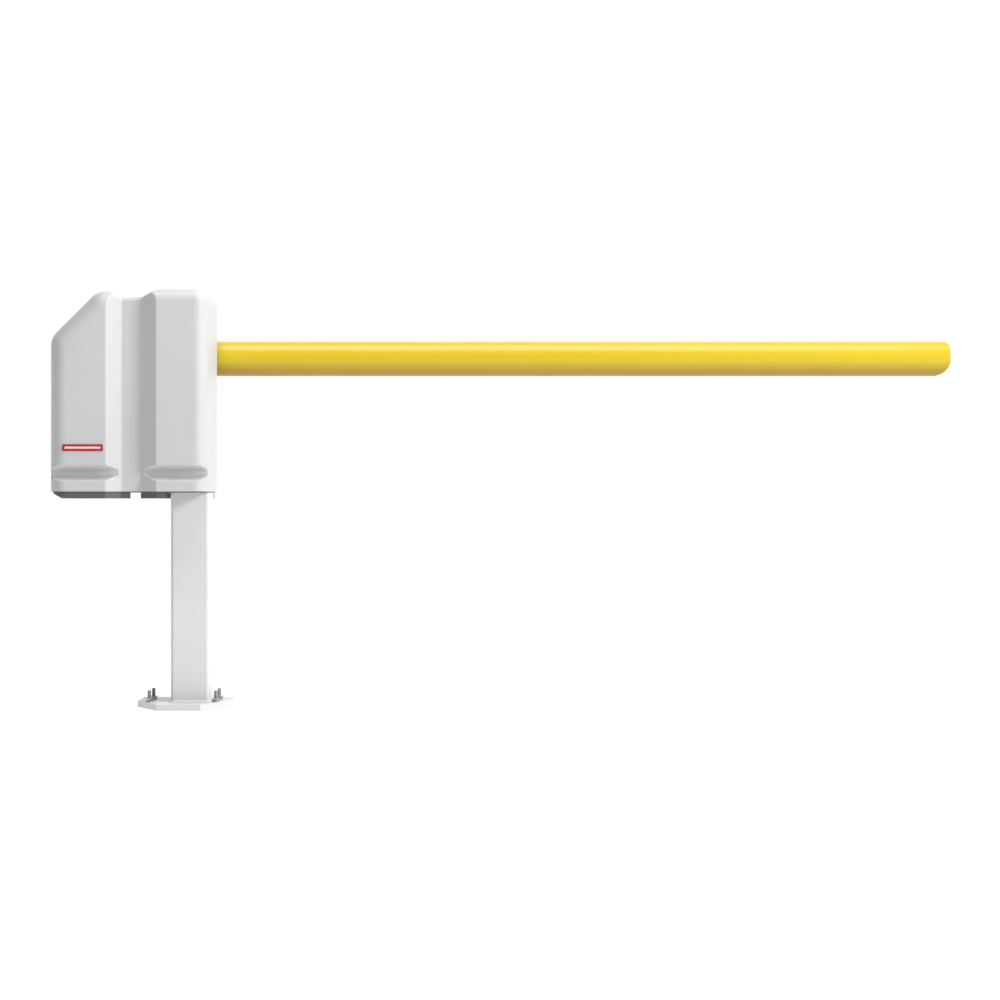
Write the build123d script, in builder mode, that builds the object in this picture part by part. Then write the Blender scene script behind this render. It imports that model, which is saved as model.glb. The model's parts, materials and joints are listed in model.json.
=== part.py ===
"""Parking barrier gate: a lift-off two-lobed cover over a worm drive, on a square post, with a round arm.

Millimetres, +Z up.  The origin is on the post's axis at the underside of the base plate.
The cover's front faces -Y.  The arm points along +X and swings up about the output shaft,
which lies along Y.
"""

import math
import os

from build123d import *

os.makedirs("parts", exist_ok=True)

# ---------------------------------------------------------------- driving dimensions

# base plate and its four anchors
PLATE_W, PLATE_D, PLATE_T = 246.0, 254.0, 16.0
PLATE_X = -20.5
CORNER_CLIP_X, CORNER_CLIP_Y = 66.0, 125.0
REAR_CLIP = 16.0
CONDUIT_R = 38.0
ANCHOR_SPACING_X, ANCHOR_SPACING_Y = 174.0, 80.0
ANCHOR_R = 5.0
ANCHOR_HOLE_R = 5.75
ANCHOR_STANDS = 30.0
WASHER_R, WASHER_T = 9.5, 2.0
NUT_AF, NUT_H = 16.0, 8.0

# post
POST_SIZE = 101.6
POST_WALL = 6.35
POST_CORNER_R = 9.0
WELD_LEG = 6.0
POST_TOP = 563.5
CAP_T = 12.0
POST_BOLT_PITCH = 50.0
POST_BOLT_R = 6.0
CABLE_HOLE_R = 22.0

# lift-off cover
WALL = 4.5
COVER_LEFT, COVER_RIGHT = -356.0, 53.0
COVER_FRONT, COVER_REAR = -130.0, 100.0
COVER_BOTTOM, RIGHT_TOP, LEFT_TOP = 566.0, 1090.0, 1087.0
SLOPE_FOOT_Z, SLOPE_HEAD_X = 965.0, -234.0
LEFT_LOBE_EDGE, RIGHT_LOBE_EDGE = -207.0, -78.0
CHANNEL_LEFT, CHANNEL_RIGHT = -172.0, -120.0
CHANNEL_Y, CHANNEL_TOP = -97.0, 1071.0
LEFT_ROUND, RIGHT_ROUND = 45.0, 33.0
SLOPE_CORNER_R, TOP_CORNER_R = 52.0, 35.0
CHANNEL_TOP_R = 12.0
LOBE_EDGE_R, CHANNEL_EDGE_R = 8.0, 9.0
GROOVE_EDGE_R = 4.0
GROOVE_BOTTOM, GROOVE_FLOOR_LOW = 593.0, 607.0
GROOVE_FLOOR_HIGH, GROOVE_TOP = 621.5, 634.0
GROOVE_DEPTH = 28.0
LIP_W, LIP_T = 15.0, 4.5
LIP_Z = 568.0
LIP_END_Y = 80.0
BADGE_W, BADGE_H, BADGE_T = 105.0, 18.0, 1.5
BADGE_X, BADGE_Z = -266.5, 679.0

# cover lock
LOCK_Y, LOCK_Z = 20.0, 640.0
LOCK_BODY_R, LOCK_FLANGE_R, LOCK_FLANGE_T = 9.5, 13.0, 3.0
LOCK_BODY_END = -338.5
LOCK_PLUG_R = 6.0
CAM_X, CAM_T = -337.5, 3.0
CAM_LENGTH, CAM_HALF_W = 26.0, 6.0
LOCK_NUT_T = 4.0

# chassis pan: a flat deck with skirts turned down; then back sheet and frame
PAN_BOTTOM, PAN_TOP = 548.0, 566.0
PAN_WALL = 2.5
PAN_INSET = 5.0
PAN_SLOPE_X, PAN_SLOPE_Z = 30.0, 15.0
FRONT_NOTCH = (-149.0, -122.0)
REAR_NOTCH = (-190.0, -112.0)
PAN_REAR = 88.0
ENTRY_R = 11.1
ENTRY_X, ENTRY_Y = -142.0, -68.0
SHEET_Y, SHEET_T = 88.0, 3.0
SHEET_GAP = 2.0
SHEET_FLANGE = 5.0
SHEET_BOTTOM = 569.0
UPRIGHT_Y, UPRIGHT_T = 78.0, 10.0
UPRIGHT_LEFT, UPRIGHT_RIGHT = -135.0, 34.0
UPRIGHT_FOOT_LEFT = -95.0
UPRIGHT_TOP = 1008.0
FRAME_FOOT_T = 8.0
FOOT_FRONT = -60.0
GUSSET_T, GUSSET_H = 8.0, 70.0

# output shaft, worm wheel, worm
PIVOT_X, PIVOT_Z = -30.0, 925.0
SHAFT_R = 15.0
SHAFT_FRONT, SHAFT_REAR = -62.0, 104.0
RUNNING_FIT = 0.05
WHEEL_TEETH = 30
WHEEL_PITCH_R = 45.0
MODULE = 2.0 * WHEEL_PITCH_R / WHEEL_TEETH
WORM_PITCH = math.pi * MODULE
WORM_PITCH_R = 13.0
WORM_X = PIVOT_X - WHEEL_PITCH_R - WORM_PITCH_R
WHEEL_Y = 30.0
WHEEL_W = 18.0
WORM_TURNS = 6
PRESSURE_ANGLE = math.radians(20)
THREAD_HALF, TOOTH_HALF = 2.0, 1.65
ADDENDUM = 3.0
WORM_CORE_R = 9.0
WHEEL_ROOT_R = 41.2
JOURNAL_R = 8.5

# gearbox
CASE_FRONT, CASE_REAR = -6.0, 78.0
CASE_R = 59.0
CAVITY_R = 50.0
OUT_BEARING_R, OUT_BEARING_W = 31.0, 16.0
IN_BEARING_R, IN_BEARING_W = 20.0, 12.0
WORM_CASE_R = 26.0
WORM_CASE_BOTTOM, WORM_CASE_TOP = 866.0, 984.0
CASE_FLANGE_LEFT, CASE_FLANGE_T = -118.0, 8.0
GEAR_COVER_T = 8.0
BOSS_R, BOSS_T = 38.0, 12.0

# motor
MOTOR_R = 43.0
MOTOR_BOTTOM, MOTOR_TOP = 660.0, 800.0
BELL_H = 15.0
BRACKET_T = 8.0

# arm
ARM_R, ARM_WALL = 47.0, 4.0
ARM_Y = 158.5
ARM_REAR_END, ARM_FRONT_END = -145.0, 2018.0
END_CAP_L = 46.0
SADDLE_Y, SADDLE_T = 105.0, 6.0
SADDLE_LEFT, SADDLE_RIGHT = -140.0, 38.0
SADDLE_HALF_H = 68.0
U_ROD_R = 5.0
U_BOLT_XS = (-108.0, 12.0)

# electrics
BOX_LEFT, BOX_RIGHT = -332.0, -176.0
BOX_BOTTOM, BOX_TOP = 742.0, 948.0
BOX_FRONT = 28.0
BOX_WALL = 3.0

PLATE_LEFT = PLATE_X - PLATE_W / 2
PLATE_RIGHT = PLATE_X + PLATE_W / 2
PLATE_FRONT, PLATE_REAR = -PLATE_D / 2, PLATE_D / 2
FRAME_FOOT_TOP = PAN_TOP + FRAME_FOOT_T
UPRIGHT_REAR = UPRIGHT_Y + UPRIGHT_T


def hexagon_prisms(points, across_flats, bottom, height, bore_r):
    """Hexagon nuts that stand along Z on the given points, each with its bore."""
    with BuildPart() as nuts:
        with BuildSketch(Plane.XY.offset(bottom)):
            with Locations(*points):
                RegularPolygon(across_flats / 2, 6, major_radius=False)
                Circle(bore_r, mode=Mode.SUBTRACT)
        extrude(amount=height)
        chamfer(nuts.edges().group_by(Axis.Z)[-1].filter_by(GeomType.LINE), length=0.8)
    return nuts.part


def box_between(low, high):
    """A plain block between two corners."""
    size = [b - a for a, b in zip(low, high)]
    middle = [(a + b) / 2 for a, b in zip(low, high)]
    return Pos(*middle) * Box(*size, mode=Mode.PRIVATE)


# ---------------------------------------------------------------- base plate and anchors

ANCHORS = [
    (PLATE_X + sx * ANCHOR_SPACING_X / 2, sy * ANCHOR_SPACING_Y / 2)
    for sx in (-1, 1)
    for sy in (-1, 1)
]

with BuildPart() as base_plate:
    with BuildSketch():
        with BuildLine():
            Polyline(
                (PLATE_LEFT + CORNER_CLIP_X, PLATE_FRONT),
                (PLATE_RIGHT - CORNER_CLIP_X, PLATE_FRONT),
                (PLATE_RIGHT, PLATE_FRONT + CORNER_CLIP_Y),
                (PLATE_RIGHT, PLATE_REAR - REAR_CLIP),
                (PLATE_RIGHT - REAR_CLIP, PLATE_REAR),
                (PLATE_LEFT + REAR_CLIP, PLATE_REAR),
                (PLATE_LEFT, PLATE_REAR - REAR_CLIP),
                (PLATE_LEFT, PLATE_FRONT + CORNER_CLIP_Y),
                close=True,
            )
        make_face()
        Circle(CONDUIT_R, mode=Mode.SUBTRACT)
        with Locations(*ANCHORS):
            Circle(ANCHOR_HOLE_R, mode=Mode.SUBTRACT)
    extrude(amount=PLATE_T)
    chamfer(base_plate.edges().group_by(Axis.Z)[-1].filter_by(GeomType.LINE), length=1.2)
base_plate.part.label = "base_plate"
export_step(base_plate.part, "parts/base_plate.step")

with BuildPart() as anchor_studs:
    with BuildSketch():
        with Locations(*ANCHORS):
            Circle(ANCHOR_R)
    extrude(amount=PLATE_T + ANCHOR_STANDS)
    chamfer(anchor_studs.edges().group_by(Axis.Z)[-1], length=1.5)
anchor_studs.part.label = "anchor_studs"
export_step(anchor_studs.part, "parts/anchor_studs.step")

with BuildPart() as anchor_washers:
    with BuildSketch(Plane.XY.offset(PLATE_T)):
        with Locations(*ANCHORS):
            Circle(WASHER_R)
            Circle(ANCHOR_R + 0.3, mode=Mode.SUBTRACT)
    extrude(amount=WASHER_T)
anchor_washers.part.label = "anchor_washers"
export_step(anchor_washers.part, "parts/anchor_washers.step")

nut_bottom = PLATE_T + WASHER_T
with BuildPart() as anchor_nuts:
    add(hexagon_prisms(ANCHORS, NUT_AF, nut_bottom, NUT_H, ANCHOR_R))
anchor_nuts.part.label = "anchor_nuts"
export_step(anchor_nuts.part, "parts/anchor_nuts.step")

# ---------------------------------------------------------------- post

with BuildPart() as post_tube:
    with BuildSketch(Plane.XY.offset(PLATE_T)):
        RectangleRounded(POST_SIZE, POST_SIZE, POST_CORNER_R)
        RectangleRounded(
            POST_SIZE - 2 * POST_WALL,
            POST_SIZE - 2 * POST_WALL,
            POST_CORNER_R - POST_WALL,
            mode=Mode.SUBTRACT,
        )
    extrude(amount=POST_TOP - CAP_T - PLATE_T)
post_tube.part.label = "post_tube"
export_step(post_tube.part, "parts/post_tube.step")

with BuildPart() as post_weld:
    with BuildSketch(Plane.XY.offset(PLATE_T)):
        RectangleRounded(
            POST_SIZE + 2 * WELD_LEG, POST_SIZE + 2 * WELD_LEG, POST_CORNER_R + WELD_LEG
        )
    extrude(amount=WELD_LEG, taper=44)
    with BuildSketch(Plane.XY.offset(PLATE_T)):
        RectangleRounded(POST_SIZE, POST_SIZE, POST_CORNER_R)
    extrude(amount=WELD_LEG, mode=Mode.SUBTRACT)
post_weld.part.label = "post_weld"
export_step(post_weld.part, "parts/post_weld.step")

with BuildPart() as post_cap:
    with BuildSketch(Plane.XY.offset(POST_TOP - CAP_T)):
        RectangleRounded(POST_SIZE, POST_SIZE, POST_CORNER_R)
        Circle(CABLE_HOLE_R, mode=Mode.SUBTRACT)
        with GridLocations(POST_BOLT_PITCH, POST_BOLT_PITCH, 2, 2):
            Circle(POST_BOLT_R, mode=Mode.SUBTRACT)
    extrude(amount=CAP_T)
post_cap.part.label = "post_cap"
export_step(post_cap.part, "parts/post_cap.step")

BOLT_SHANK = CAP_T + PAN_WALL + FRAME_FOOT_T
with BuildPart() as post_bolts:
    with BuildSketch(Plane.XY.offset(POST_TOP - CAP_T)):
        with GridLocations(POST_BOLT_PITCH, POST_BOLT_PITCH, 2, 2):
            Circle(POST_BOLT_R)
    extrude(amount=BOLT_SHANK)
    with BuildSketch(Plane.XY.offset(FRAME_FOOT_TOP)):
        with GridLocations(POST_BOLT_PITCH, POST_BOLT_PITCH, 2, 2):
            RegularPolygon(9.0, 6, major_radius=False)
    extrude(amount=7.5)
post_bolts.part.label = "post_bolts"
export_step(post_bolts.part, "parts/post_bolts.step")

# ---------------------------------------------------------------- cover outlines


def near(value, target):
    """True where a coordinate lies on a line of the cover."""
    return abs(value - target) < 0.6


def cover_plan(inset, rear):
    """Plan of the two lobes and the channel between them, drawn in, up to a rear line."""
    with BuildSketch() as plan:
        with BuildLine():
            Polyline(
                (COVER_LEFT, COVER_REAR + 3 * LIP_W),
                (COVER_LEFT, COVER_FRONT),
                (LEFT_LOBE_EDGE, COVER_FRONT),
                (CHANNEL_LEFT, CHANNEL_Y),
                (CHANNEL_RIGHT, CHANNEL_Y),
                (RIGHT_LOBE_EDGE, COVER_FRONT),
                (COVER_RIGHT, COVER_FRONT),
                (COVER_RIGHT, COVER_REAR + 3 * LIP_W),
                close=True,
            )
        make_face()
        if inset:
            corners = plan.vertices().group_by(Axis.Y)[0].sort_by(Axis.X)
            fillet(corners[0], LEFT_ROUND)
            corners = plan.vertices().group_by(Axis.Y)[0].sort_by(Axis.X)
            fillet(corners[-1], RIGHT_ROUND)
            offset(amount=-inset, kind=Kind.INTERSECTION)
        with Locations((0, rear)):
            Rectangle(2000, 400, align=(Align.CENTER, Align.MIN), mode=Mode.SUBTRACT)
    return plan.sketch


def cover_elevation(inset):
    """Front outline of the cover: a slope at the top left, the channel's dip, soft corners."""
    with BuildSketch() as outline:
        with BuildLine():
            Polyline(
                (COVER_LEFT, COVER_BOTTOM - inset),
                (COVER_LEFT, SLOPE_FOOT_Z),
                (SLOPE_HEAD_X, LEFT_TOP),
                (LEFT_LOBE_EDGE, LEFT_TOP),
                (CHANNEL_LEFT, CHANNEL_TOP),
                (CHANNEL_RIGHT, CHANNEL_TOP),
                (RIGHT_LOBE_EDGE, RIGHT_TOP),
                (COVER_RIGHT, RIGHT_TOP),
                (COVER_RIGHT, COVER_BOTTOM - inset),
                close=True,
            )
        make_face()
        corners = outline.vertices().group_by(Axis.X)
        fillet(corners[0].sort_by(Axis.Y)[-1], SLOPE_CORNER_R)
        corners = outline.vertices().filter_by(lambda v: near(v.Y, LEFT_TOP))
        fillet(corners.sort_by(Axis.X)[0], SLOPE_CORNER_R)
        corners = outline.vertices().filter_by(lambda v: near(v.Y, RIGHT_TOP))
        fillet(corners.sort_by(Axis.X)[-1], TOP_CORNER_R)
        if inset:
            offset(amount=-inset, kind=Kind.INTERSECTION)
    return outline.sketch


def groove_prism(grow):
    """The long bar that cuts the horizontal groove, grown by grow on its three sides."""
    depth_y = COVER_FRONT + GROOVE_DEPTH + grow
    low_run = GROOVE_FLOOR_LOW - GROOVE_BOTTOM
    high_run = GROOVE_TOP - GROOVE_FLOOR_HIGH
    reach = 40.0
    with BuildPart() as bar:
        with BuildSketch(Plane.YZ.offset(COVER_LEFT - 10)):
            with BuildLine():
                Polyline(
                    (depth_y, GROOVE_FLOOR_LOW - grow),
                    (depth_y, GROOVE_FLOOR_HIGH + grow),
                    (COVER_FRONT - reach, GROOVE_TOP + grow + high_run * reach / GROOVE_DEPTH),
                    (COVER_FRONT - reach, GROOVE_BOTTOM - grow - low_run * reach / GROOVE_DEPTH),
                    close=True,
                )
            make_face()
        extrude(amount=COVER_RIGHT - COVER_LEFT + 20)
    return bar.part


# ---------------------------------------------------------------- cover

with BuildPart() as cover_block:
    with BuildSketch(Plane.XZ.offset(-COVER_REAR)):
        add(cover_elevation(0))
    extrude(amount=COVER_REAR - COVER_FRONT)
    with BuildSketch(Plane.XY.offset(COVER_BOTTOM)):
        add(cover_plan(0, COVER_REAR))
    extrude(amount=RIGHT_TOP - COVER_BOTTOM, mode=Mode.INTERSECT)
    face_edges = edges().filter_by(lambda e: near(e.center().Y, COVER_FRONT))
    face_edges = face_edges.filter_by(lambda e: e.center().Z > COVER_BOTTOM + 1)
    fillet(face_edges.filter_by(lambda e: e.center().X < LEFT_LOBE_EDGE - 1), LEFT_ROUND)
    face_edges = edges().filter_by(lambda e: near(e.center().Y, COVER_FRONT))
    face_edges = face_edges.filter_by(lambda e: e.center().Z > COVER_BOTTOM + 1)
    fillet(face_edges.filter_by(lambda e: e.center().X > RIGHT_LOBE_EDGE + 1), RIGHT_ROUND)


def round_channel_top(form):
    """The form with the channel's front top edge rounded."""
    top_edges = form.edges().filter_by(lambda e: near(e.center().Z, CHANNEL_TOP))
    return form.fillet(CHANNEL_TOP_R, top_edges.filter_by(lambda e: near(e.center().Y, CHANNEL_Y)))


hollow = offset(round_channel_top(cover_block.part), amount=-WALL, mode=Mode.PRIVATE)
hollow_rear = hollow.faces().sort_by(Axis.Y)[-1]

with BuildPart() as cover_outside:
    add(cover_block.part)
    add(groove_prism(0), mode=Mode.SUBTRACT)
    for edge_x in (LEFT_LOBE_EDGE, RIGHT_LOBE_EDGE):
        lobe_edges = edges().filter_by(lambda e: near(e.center().Y, COVER_FRONT))
        fillet(lobe_edges.filter_by(lambda e: near(e.center().X, edge_x)), LOBE_EDGE_R)
    for edge_x in (CHANNEL_LEFT, CHANNEL_RIGHT):
        channel_edges = edges().filter_by(lambda e: near(e.center().Y, CHANNEL_Y))
        fillet(channel_edges.filter_by(lambda e: near(e.center().X, edge_x)), CHANNEL_EDGE_R)

cover_form = cover_outside.part
for rim_z, floor_z in ((GROOVE_TOP, GROOVE_FLOOR_HIGH), (GROOVE_BOTTOM, GROOVE_FLOOR_LOW)):
    rims = cover_form.edges().filter_by(lambda e: near(e.center().Z, rim_z))
    rims = rims.filter_by(lambda e: e.center().Y < COVER_FRONT + 10)
    cover_form = cover_form.fillet(GROOVE_EDGE_R, rims)
    floor_edges = cover_form.edges().filter_by(lambda e: near(e.center().Z, floor_z))
    cover_form = cover_form.fillet(GROOVE_EDGE_R, floor_edges)
for rim_x in (CHANNEL_LEFT, CHANNEL_RIGHT):
    rims = cover_form.edges().filter_by(lambda e: near(e.center().Z, CHANNEL_TOP))
    cover_form = cover_form.fillet(LOBE_EDGE_R, rims.filter_by(lambda e: near(e.center().X, rim_x)))
cover_form = round_channel_top(cover_form)

lock_plane = Plane(origin=(COVER_LEFT, LOCK_Y, LOCK_Z), x_dir=(0, 1, 0), z_dir=(1, 0, 0))
with BuildPart() as cover_shell:
    add(cover_form)
    add(hollow - groove_prism(WALL), mode=Mode.SUBTRACT)
    extrude(hollow_rear, amount=2 * WALL, mode=Mode.SUBTRACT)
    # the space under the lip, and the opening inside it
    with BuildSketch(Plane.XY.offset(COVER_BOTTOM)):
        add(cover_plan(WALL, COVER_REAR + 1))
    extrude(amount=LIP_Z - COVER_BOTTOM, mode=Mode.SUBTRACT)
    with BuildSketch(Plane.XY.offset(COVER_BOTTOM)):
        add(cover_plan(LIP_W, COVER_REAR + 1))
    extrude(amount=LIP_Z - COVER_BOTTOM + 2 * LIP_T, mode=Mode.SUBTRACT)
    with BuildSketch(Plane.XY.offset(COVER_BOTTOM)):
        with Locations(((COVER_LEFT + COVER_RIGHT) / 2, LIP_END_Y)):
            Rectangle(COVER_RIGHT - COVER_LEFT - 2 * WALL, 40, align=(Align.CENTER, Align.MIN))
    extrude(amount=LIP_Z - COVER_BOTTOM + 2 * LIP_T, mode=Mode.SUBTRACT)
    with BuildSketch(lock_plane.offset(-1)):
        Circle(LOCK_BODY_R)
    extrude(amount=WALL + 2, mode=Mode.SUBTRACT)
cover_shell.part.label = "cover_shell"
export_step(cover_shell.part, "parts/cover_shell.step")

with BuildPart() as cover_badge:
    with BuildSketch(Plane.XZ.offset(-COVER_FRONT)):
        with Locations((BADGE_X, BADGE_Z)):
            RectangleRounded(BADGE_W, BADGE_H, 2.5)
    extrude(amount=BADGE_T)
    chamfer(cover_badge.faces().sort_by(Axis.Y)[0].edges(), length=0.5)
cover_badge.part.label = "cover_badge"
export_step(cover_badge.part, "parts/cover_badge.step")

# ---------------------------------------------------------------- cover lock and its keeper

with BuildPart() as lock_body:
    with BuildSketch(lock_plane.offset(-LOCK_FLANGE_T)):
        Circle(LOCK_FLANGE_R)
    extrude(amount=LOCK_FLANGE_T)
    chamfer(lock_body.edges().sort_by(Axis.X)[0], length=1.0)
    with BuildSketch(lock_plane):
        Circle(LOCK_BODY_R)
    extrude(amount=LOCK_BODY_END - COVER_LEFT)
    with BuildSketch(lock_plane.offset(WALL)):
        RegularPolygon(12.0, 6, major_radius=False)
    extrude(amount=LOCK_NUT_T)
    with BuildSketch(lock_plane.offset(-LOCK_FLANGE_T)):
        Circle(LOCK_PLUG_R + RUNNING_FIT)
    extrude(amount=60, mode=Mode.SUBTRACT)
lock_body.part.label = "lock_body"
export_step(lock_body.part, "parts/lock_body.step")

PLUG_FRONT = LOCK_FLANGE_T - 0.5
with BuildPart() as lock_plug:
    with BuildSketch(lock_plane.offset(-PLUG_FRONT)):
        Circle(LOCK_PLUG_R)
    extrude(amount=PLUG_FRONT + CAM_X - COVER_LEFT)
    with BuildSketch(lock_plane.offset(-PLUG_FRONT)):
        Rectangle(1.6, 7.5)
    extrude(amount=6, mode=Mode.SUBTRACT)
lock_plug.part.label = "lock_plug"
export_step(lock_plug.part, "parts/lock_plug.step")

with BuildPart() as lock_cam:
    with BuildSketch(Plane(origin=(CAM_X, LOCK_Y, LOCK_Z), x_dir=(0, 1, 0), z_dir=(1, 0, 0))):
        Circle(8.0)
        with Locations((0, -CAM_LENGTH / 2)):
            Rectangle(2 * CAM_HALF_W, CAM_LENGTH)
    extrude(amount=CAM_T)
    fillet(lock_cam.edges().filter_by(Axis.X).group_by(Axis.Z)[0], radius=3.0)
lock_cam.part.label = "lock_cam"
export_step(lock_cam.part, "parts/lock_cam.step")

LEDGE_Z, LEDGE_T = LOCK_Z + CAM_HALF_W + 1.0, 3.0
LEDGE_LEFT, LEDGE_RIGHT = -338.5, -310.0
LEDGE_FRONT = 35.0
with BuildPart() as lock_keeper:
    add(box_between((LEDGE_LEFT, LEDGE_FRONT, LEDGE_Z), (LEDGE_RIGHT, SHEET_Y, LEDGE_Z + LEDGE_T)))
    add(
        box_between(
            (LEDGE_LEFT, SHEET_Y - LEDGE_T, LEDGE_Z), (LEDGE_RIGHT, SHEET_Y, LEDGE_Z + 30)
        )
    )
lock_keeper.part.label = "lock_keeper"
export_step(lock_keeper.part, "parts/lock_keeper.step")

# ---------------------------------------------------------------- chassis pan, seal, sheet, frame


PAN_LEFT = COVER_LEFT + PAN_INSET
PAN_SLOPE_TOP = PAN_BOTTOM + PAN_SLOPE_Z
PAN_SLOPE = PAN_SLOPE_X / PAN_SLOPE_Z


def pan_prism(shift, top, bottom):
    """Bar along Y with the pan's sloped left end, the slope moved right by shift."""
    right = COVER_RIGHT - PAN_INSET - (PAN_WALL if shift else 0)
    with BuildPart() as bar:
        with BuildSketch(Plane.XZ.offset(-PAN_REAR)):
            with BuildLine():
                Polyline(
                    (PAN_LEFT + shift + (PAN_SLOPE_TOP - top) * PAN_SLOPE, top),
                    (PAN_LEFT + shift + (PAN_SLOPE_TOP - bottom) * PAN_SLOPE, bottom),
                    (right, bottom),
                    (right, top),
                    close=True,
                )
            make_face()
        extrude(amount=PAN_REAR - COVER_FRONT)
    return bar.part


with BuildPart() as under_deck:
    with BuildSketch(Plane.XY.offset(PAN_BOTTOM - 1)):
        add(cover_plan(PAN_INSET + PAN_WALL, PAN_REAR - PAN_WALL))
    extrude(amount=PAN_TOP - PAN_WALL - PAN_BOTTOM + 1)
    slope_shift = PAN_WALL * math.hypot(1, PAN_SLOPE)
    add(pan_prism(slope_shift, PAN_TOP, PAN_BOTTOM - 1), mode=Mode.INTERSECT)

with BuildPart() as chassis_pan:
    with BuildSketch(Plane.XY.offset(PAN_BOTTOM)):
        add(cover_plan(PAN_INSET, PAN_REAR))
    extrude(amount=PAN_TOP - PAN_BOTTOM)
    add(pan_prism(0, PAN_TOP, PAN_BOTTOM), mode=Mode.INTERSECT)
    add(under_deck.part, mode=Mode.SUBTRACT)
    # the skirt is open under the channel, in front and behind
    for (notch_left, notch_right), notch_y in ((FRONT_NOTCH, COVER_FRONT), (REAR_NOTCH, 0)):
        notch_low = (notch_left, notch_y, PAN_BOTTOM)
        notch_high = (notch_right, notch_y - COVER_FRONT, PAN_TOP - PAN_WALL)
        add(box_between(notch_low, notch_high), mode=Mode.SUBTRACT)
    # and round the post, in front of it and on its right
    post_low = (-POST_SIZE / 2 - 1, COVER_FRONT, PAN_BOTTOM)
    post_high = (COVER_RIGHT, POST_SIZE / 2 + 1, PAN_TOP - PAN_WALL)
    add(box_between(post_low, post_high), mode=Mode.SUBTRACT)
    with BuildSketch(Plane.XY.offset(PAN_TOP - PAN_WALL)):
        Circle(CABLE_HOLE_R)
        with GridLocations(POST_BOLT_PITCH, POST_BOLT_PITCH, 2, 2):
            Circle(POST_BOLT_R)
        with Locations((ENTRY_X, ENTRY_Y)):
            Circle(ENTRY_R)
    extrude(amount=PAN_WALL, mode=Mode.SUBTRACT)
chassis_pan.part.label = "chassis_pan"
export_step(chassis_pan.part, "parts/chassis_pan.step")

SEAL_T = 1.7
with BuildPart() as cover_seal:
    with BuildSketch(Plane.XY.offset(PAN_TOP)):
        add(cover_plan(PAN_INSET + 1.5, LIP_END_Y))
        add(cover_plan(LIP_W - 1.5, LIP_END_Y + 1), mode=Mode.SUBTRACT)
    extrude(amount=SEAL_T)
cover_seal.part.label = "cover_seal"
export_step(cover_seal.part, "parts/cover_seal.step")

SHEET_INSET = WALL + SHEET_GAP
SHAFT_HOLE_R = 19.0
with BuildPart() as back_sheet:
    with BuildSketch(Plane.XZ.offset(-SHEET_Y)):
        add(cover_elevation(SHEET_INSET))
        with Locations((0, SHEET_BOTTOM)):
            Rectangle(2000, 200, align=(Align.CENTER, Align.MAX), mode=Mode.SUBTRACT)
        for tab_left, tab_right in ((-300, -200), (-100, 40)):
            with Locations((tab_left, SHEET_BOTTOM)):
                Rectangle(tab_right - tab_left, 16, align=(Align.MIN, Align.MAX))
        with Locations((PIVOT_X, PIVOT_Z)):
            Circle(SHAFT_HOLE_R, mode=Mode.SUBTRACT)
    extrude(amount=-SHEET_T)
    with BuildSketch(Plane.XZ.offset(-SHEET_Y - SHEET_T)):
        add(cover_elevation(SHEET_INSET))
        add(cover_elevation(SHEET_INSET + SHEET_T), mode=Mode.SUBTRACT)
        with Locations((0, SHEET_BOTTOM)):
            Rectangle(2000, 200, align=(Align.CENTER, Align.MAX), mode=Mode.SUBTRACT)
    extrude(amount=-SHEET_FLANGE)
back_sheet.part.label = "back_sheet"
export_step(back_sheet.part, "parts/back_sheet.step")

with BuildPart() as drive_upright:
    with BuildSketch(Plane.XY.offset(PAN_TOP)):
        with Locations((UPRIGHT_FOOT_LEFT, FOOT_FRONT)):
            Rectangle(
                UPRIGHT_RIGHT - UPRIGHT_FOOT_LEFT,
                UPRIGHT_REAR - FOOT_FRONT,
                align=(Align.MIN, Align.MIN),
            )
        Circle(CABLE_HOLE_R, mode=Mode.SUBTRACT)
        with GridLocations(POST_BOLT_PITCH, POST_BOLT_PITCH, 2, 2):
            Circle(POST_BOLT_R, mode=Mode.SUBTRACT)
    extrude(amount=FRAME_FOOT_T)
    with BuildSketch(Plane.XZ.offset(-UPRIGHT_REAR)):
        with BuildLine():
            Polyline(
                (UPRIGHT_FOOT_LEFT, FRAME_FOOT_TOP),
                (UPRIGHT_RIGHT, FRAME_FOOT_TOP),
                (UPRIGHT_RIGHT, UPRIGHT_TOP),
                (UPRIGHT_LEFT, UPRIGHT_TOP),
                (UPRIGHT_LEFT, 690),
                (UPRIGHT_FOOT_LEFT, 640),
                close=True,
            )
        make_face()
        with Locations((PIVOT_X, PIVOT_Z)):
            Circle(SHAFT_HOLE_R, mode=Mode.SUBTRACT)
    extrude(amount=UPRIGHT_T)
    for gusset_x, gusset_front in ((UPRIGHT_FOOT_LEFT + GUSSET_T, -45), (UPRIGHT_RIGHT, 38)):
        with BuildSketch(Plane.YZ.offset(gusset_x)):
            with BuildLine():
                Polyline(
                    (UPRIGHT_Y, FRAME_FOOT_TOP),
                    (gusset_front, FRAME_FOOT_TOP),
                    (UPRIGHT_Y, FRAME_FOOT_TOP + GUSSET_H),
                    close=True,
                )
            make_face()
        extrude(amount=-GUSSET_T)
drive_upright.part.label = "drive_upright"
export_step(drive_upright.part, "parts/drive_upright.step")

# ---------------------------------------------------------------- output shaft and worm wheel

shaft_axis = (PIVOT_X, PIVOT_Z)


def ring_y(outer_r, inner_r, y_front, y_rear, centre=shaft_axis):
    """A disc or ring about an axis along Y."""
    with BuildPart() as ring:
        with BuildSketch(Plane.XZ.offset(-y_rear)):
            with Locations(centre):
                Circle(outer_r)
                if inner_r:
                    Circle(inner_r, mode=Mode.SUBTRACT)
        extrude(amount=y_rear - y_front)
    return ring.part


KEY_W, KEY_DEPTH = 8.0, 3.5
WHEEL_KEY = (12.0, 52.0)
HUB_KEY = (93.6, 103.0)


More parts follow.
